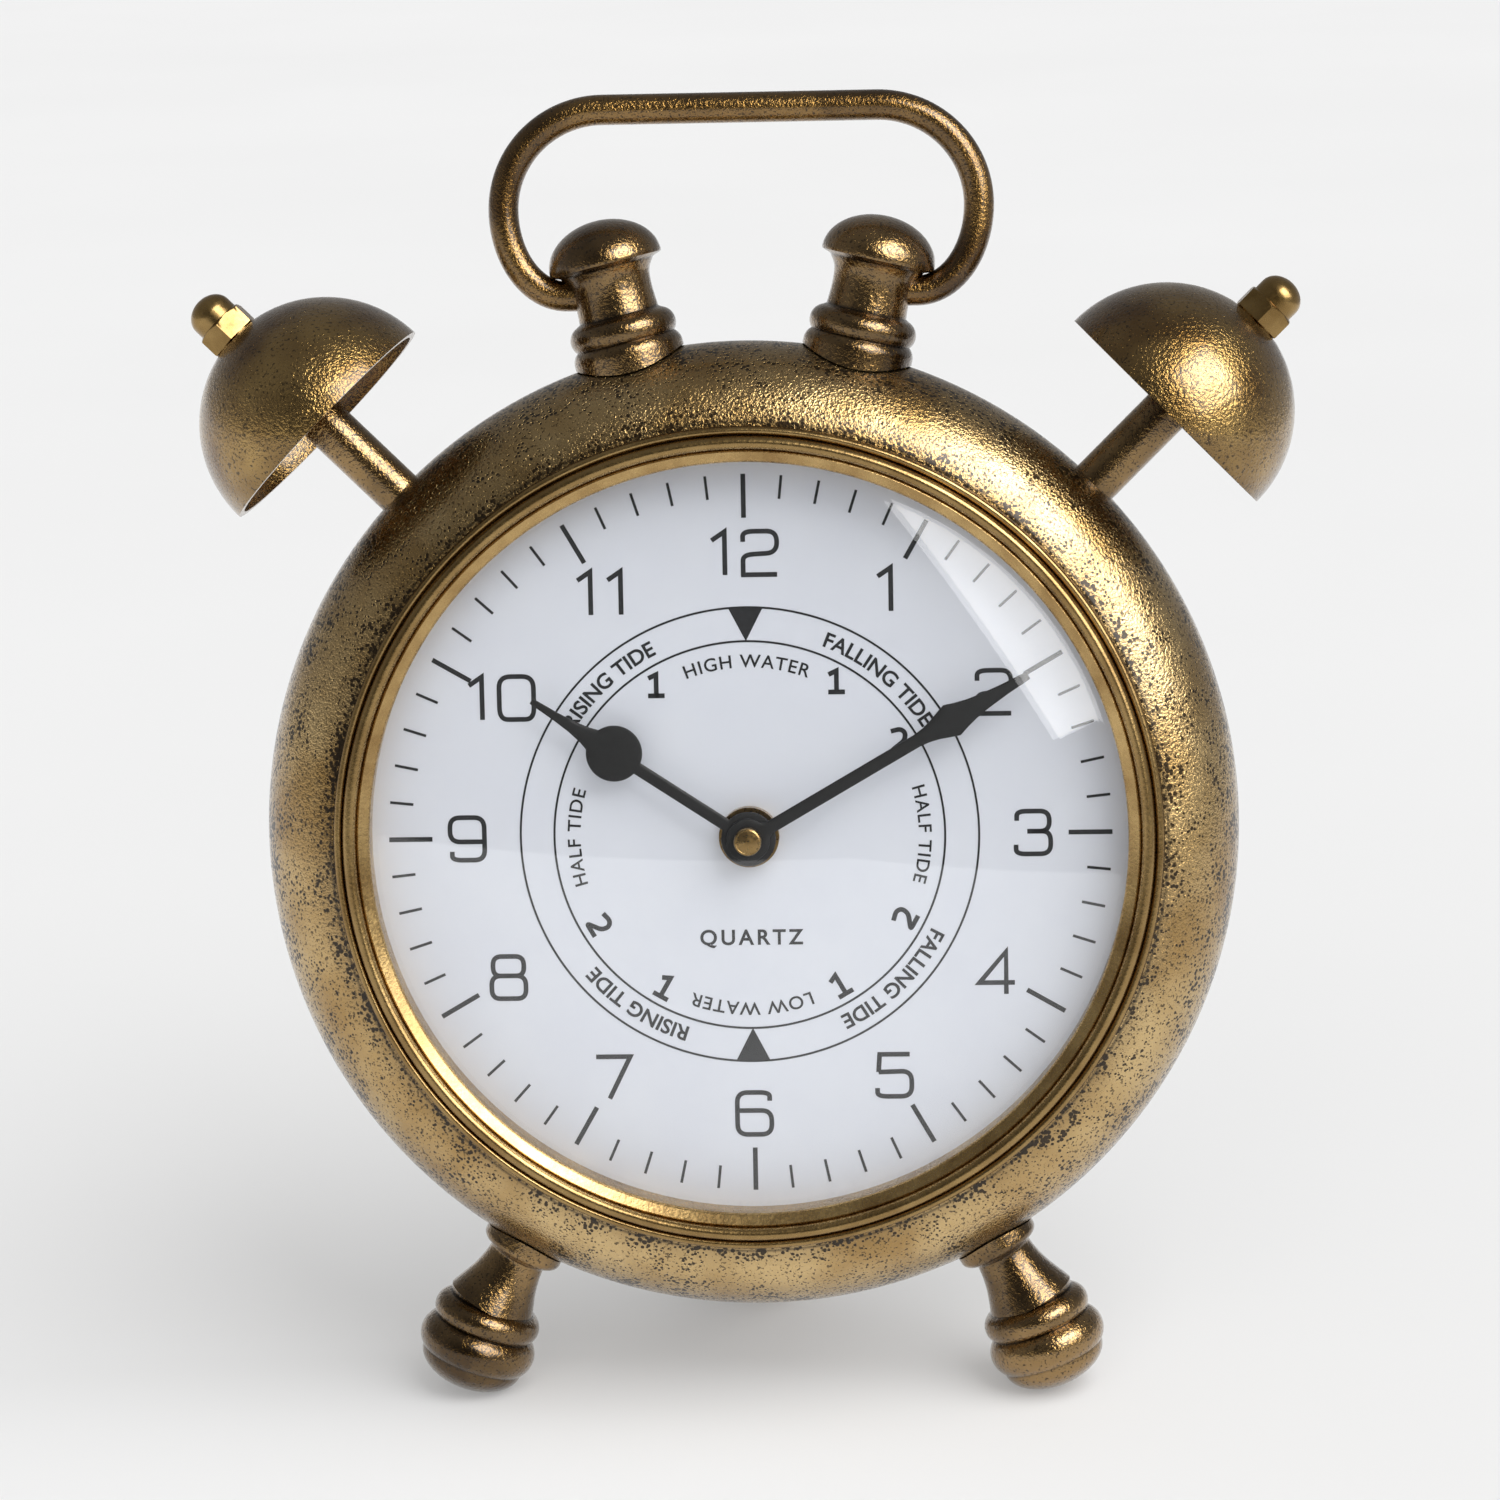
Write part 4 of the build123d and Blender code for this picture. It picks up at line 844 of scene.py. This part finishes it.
def writeNumber(ink, text, centre, height, wide, gap=0.24, turn=0.0):
    # figures side by side about a centre
    t = math.radians(turn)
    spin = np.array([[math.cos(t), -math.sin(t)], [math.sin(t), math.cos(t)]])
    box = [0.46 if ch == "1" else 0.8 for ch in text]
    left = -(sum(box) + gap * (len(text) - 1)) / 2
    for ch, room in zip(text, box):
        for points, radius in strokes[ch]:
            path = rounded(points, radius) + [left - (0.14 if ch == "1" else 0.0), -0.5]
            penLine(ink, path * height @ spin + centre, wide)
        left += room + gap


figures = Ink()
for hour in range(1, 13):
    centre = polar(np.array([printSpec["figures"]]), np.array([hour * 30.0]))[0]
    writeNumber(figures, str(hour), centre, printSpec["figureTall"], printSpec["penWide"])

# Hours to and from high and low water: upright above, tops to the middle below
for place in (-31, 30, 58, 119, 150, 210, 240, 302):
    shape = "i" if place in (-31, 30, 150, 210) else "z"
    centre = polar(np.array([printSpec["small"]]), np.array([float(place)]))[0]
    facing = place - 180 if 90 < place < 270 else 0
    writeNumber(figures, shape, centre, printSpec["smallTall"], printSpec["penWide"], turn=facing)
figures.piece("dialFigures", printInk)


def wordShape(text, size, spread, bold):
    # letters as flat triangles
    curve = bpy.data.curves.new("words", "FONT")
    curve.body = text
    curve.size = size
    curve.align_x = "CENTER"
    curve.space_character = spread
    curve.offset = bold
    holder = bpy.data.objects.new("words", curve)
    scene.collection.objects.link(holder)
    bpy.context.view_layer.update()
    shape = holder.evaluated_get(bpy.context.evaluated_depsgraph_get()).to_mesh()
    shape.calc_loop_triangles()
    flat = np.empty(len(shape.vertices) * 3)
    faces = np.empty(len(shape.loop_triangles) * 3, np.int32)
    shape.vertices.foreach_get("co", flat)
    shape.loop_triangles.foreach_get("vertices", faces)
    bpy.data.objects.remove(holder)
    bpy.data.curves.remove(curve)
    return flat.reshape(-1, 3)[:, :2], faces.reshape(-1, 3)


def arcText(ink, text, radius, turn, size, spread=1.0, bold=0.0):
    # letters stand on a circle: angle from the letter's x, radius from its y
    flat, faces = wordShape(text, size, spread, bold)
    ink.loose(polar(radius + flat[:, 1], turn + np.degrees(flat[:, 0] / radius)), faces)


words = Ink()
for place, text in ((0, "HIGH WATER"), (90, "HALF TIDE"), (180, "LOW WATER"), (270, "HALF TIDE")):
    arcText(words, text, printSpec["wordsIn"], place, size=3.7, spread=1.12, bold=0.04)
for place, text in ((40, "FALLING TIDE"), (136, "FALLING TIDE"), (214, "RISING TIDE"), (318, "RISING TIDE")):
    arcText(words, text, printSpec["wordsBand"], place, size=4.2, bold=0.09)
lineFlat, lineFaces = wordShape("QUARTZ", size=4.3, spread=1.3, bold=0.09)
words.loose(lineFlat - [0.0, printSpec["lineDown"]], lineFaces)
words.piece("dialWords", printInk)
print("dial print done")

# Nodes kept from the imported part
kept = {
    "rehaut_ring": bezelBrass, "lens_gasket": blackRubber, "dial_plate": dialWhite, "back_cover": coverBlack,
    "back_cover_screws": zincSteel, "handle_post_screws": zincSteel, "bell_stem_nuts": zincSteel,
    "foot_screws": zincSteel, "left_bell_stem": turnedBrass, "right_bell_stem": turnedBrass,
    "bushing_nut": nutBrass, "movement_bushing": nutBrass, "bushing_washer": blackRubber,
    "movement_front_case": movementPlastic, "movement_rear_case": movementPlastic, "battery_cell": cellWrap,
    "battery_contact_plus": zincSteel, "battery_contact_minus": zincSteel, "motor_stator": zincSteel,
    "motor_coil": copperWire, "circuit_board": boardGreen, "quartz_crystal": zincSteel,
    "hour_wheel": wheelPlastic, "minute_arbor": nutBrass, "motion_wheel": wheelPlastic,
    "setting_knob": movementPlastic,
}
for name, material in kept.items():
    node = frame["nodes"][name]
    node.data.materials.clear()
    node.data.materials.append(material)
print("kept nodes dressed")

# Floor: pale studio sheet
floorSpec = {"left": -6.0, "right": 0.8, "deep": 6.0, "light": "#C8C8C8", "dark": "#C6C6C6", "glow": 0.48}
left, right, deep = floorSpec["left"], floorSpec["right"], floorSpec["deep"]
floorMesh = bpy.data.meshes.new("studioFloor")
floorMesh.from_pydata([(left, -deep, 0), (right, -deep, 0), (right, deep, 0), (left, deep, 0)], [],
    [(0, 1, 2, 3)])
studioFloor = bpy.data.objects.new("studioFloor", floorMesh)
scene.collection.objects.link(studioFloor)
floorMesh.materials.append(paperSheet("paleStudioSheet", floorSpec["light"], floorSpec["dark"],
    floorSpec["glow"]))

# Light: a softbox with a brighter middle from the upper right and a faint fill
lightSpec = {"azimuth": 44.0, "elevation": 36.0, "away": 2.0, "wide": 1.6, "tall": 1.62, "roll": 16.0,
    "glow": 4.4, "coreElevation": 43.0, "coreWide": 1.2, "coreTall": 0.85, "coreGlow": 5.0, "key": 2.4,
    "keyElevation": 52.0, "keyAzimuth": 63.0, "keyWidth": 60.0, "fill": 0.6, "fillElevation": 35.0,
    "fillWidth": 60.0}


def direction(azimuth, elevation):
    # unit vector: azimuth from the front towards the right, elevation from the floor
    a, e = math.radians(azimuth), math.radians(elevation)
    return Vector((math.sin(a) * math.cos(e), -math.cos(a) * math.cos(e), math.sin(e)))


def sunLight(name, strength, width, way):
    # broad sun for matt light only
    lamp = bpy.data.lights.new(name, "SUN")
    lamp.energy = strength
    lamp.angle = math.radians(width)
    light = bpy.data.objects.new(name, lamp)
    light.rotation_euler = way.to_track_quat("Z", "Y").to_euler()
    light.visible_glossy = False
    scene.collection.objects.link(light)


def softBox(name, way, wide, tall, glow):
    # flat rectangle that faces the clock, for mirror light only: power = radiance x pi x area
    lamp = bpy.data.lights.new(name, "AREA")
    lamp.shape = "RECTANGLE"
    lamp.size = wide
    lamp.size_y = tall
    lamp.energy = glow * math.pi * wide * tall
    light = bpy.data.objects.new(name, lamp)
    light.location = Vector(headCentre) + way * lightSpec["away"]
    rolled = Quaternion((0.0, 0.0, 1.0), math.radians(lightSpec["roll"]))
    light.rotation_euler = (way.to_track_quat("Z", "Y") @ rolled).to_euler()
    light.visible_diffuse = False
    scene.collection.objects.link(light)


sunLight("softKey", lightSpec["key"], lightSpec["keyWidth"],
    direction(lightSpec["keyAzimuth"], lightSpec["keyElevation"]))
softBox("softBoxFace", direction(lightSpec["azimuth"], lightSpec["elevation"]), lightSpec["wide"],
    lightSpec["tall"], lightSpec["glow"])
softBox("softBoxMiddle", direction(lightSpec["azimuth"], lightSpec["coreElevation"]), lightSpec["coreWide"],
    lightSpec["coreTall"], lightSpec["coreGlow"])
sunLight("softFill", lightSpec["fill"], lightSpec["fillWidth"],
    direction(0.0, lightSpec["fillElevation"]))

# Room: in mirrors brighter near the floor and dim behind the camera, even elsewhere
roomSpec = {"light": 0.36, "seen": "#F1F1F1", "tones": ((0.0, 0.36), (0.25, 0.28), (0.55, 0.2), (1.0, 0.2)),
    "behind": (-0.95, -0.4), "dimmest": 0.25}
world = bpy.data.worlds.new("studioRoom")
scene.world = world
world.use_nodes = True
room = world.node_tree
room.nodes.clear()
cameraRay = add(room, "LightPath", {}, "Is Camera Ray")
mirrorRay = add(room, "LightPath", {}, "Is Glossy Ray")
around = add(room, "Background", {"Color": grey(1.0), "Strength": roomSpec["light"]})
seen = add(room, "Background", {"Color": tint(roomSpec["seen"]), "Strength": 1.0})
outward = add(room, "TexCoord", {}, "Generated")
upward = add(room, "SeparateXYZ", {0: outward}, "Z")
backward = add(room, "SeparateXYZ", {0: outward}, "Y")
tones = [(place, grey(tone)) for place, tone in roomSpec["tones"]]
shade = add(room, "ValToRGB", {"Fac": upward}, stops=tones)
dimStart, dimEnd = roomSpec["behind"]
dim = add(room, "MapRange", {"Value": backward, "From Min": dimStart, "From Max": dimEnd,
    "To Min": roomSpec["dimmest"]})
mirrored = add(room, "Background", {"Color": shade, "Strength": dim})
shiny = add(room, "MixShader", {0: mirrorRay, 1: around, 2: mirrored})
whole = add(room, "MixShader", {0: cameraRay, 1: shiny, 2: seen})
add(room, "OutputWorld", {"Surface": whole})

# Camera: long lens, a little above the clock, a slight roll as in the photograph
cameraSpec = {"elevation": 17.3, "azimuth": 2.8, "distance": 0.845, "lens": 100.3, "sensor": 36.0,
    "lift": 0.0156, "roll": 1.49}
camera = bpy.data.cameras.new("photoCamera")
camera.lens = cameraSpec["lens"]
camera.sensor_width = cameraSpec["sensor"]
photoCamera = bpy.data.objects.new("photoCamera", camera)
aim = Vector(headCentre)
toCamera = direction(cameraSpec["azimuth"], cameraSpec["elevation"])
spot = aim + toCamera * cameraSpec["distance"]
sideways = Vector((-toCamera.y, toCamera.x, 0.0)).normalized()
target = aim + toCamera.cross(sideways) * cameraSpec["lift"]
look = (spot - target).to_track_quat("Z", "Y").to_matrix().to_4x4()
roll = Matrix.Rotation(math.radians(-cameraSpec["roll"]), 4, "Z")
photoCamera.matrix_world = Matrix.Translation(spot) @ look @ roll
scene.collection.objects.link(photoCamera)
scene.camera = photoCamera
scene.view_settings.view_transform = "Standard"
print("camera and lights set")
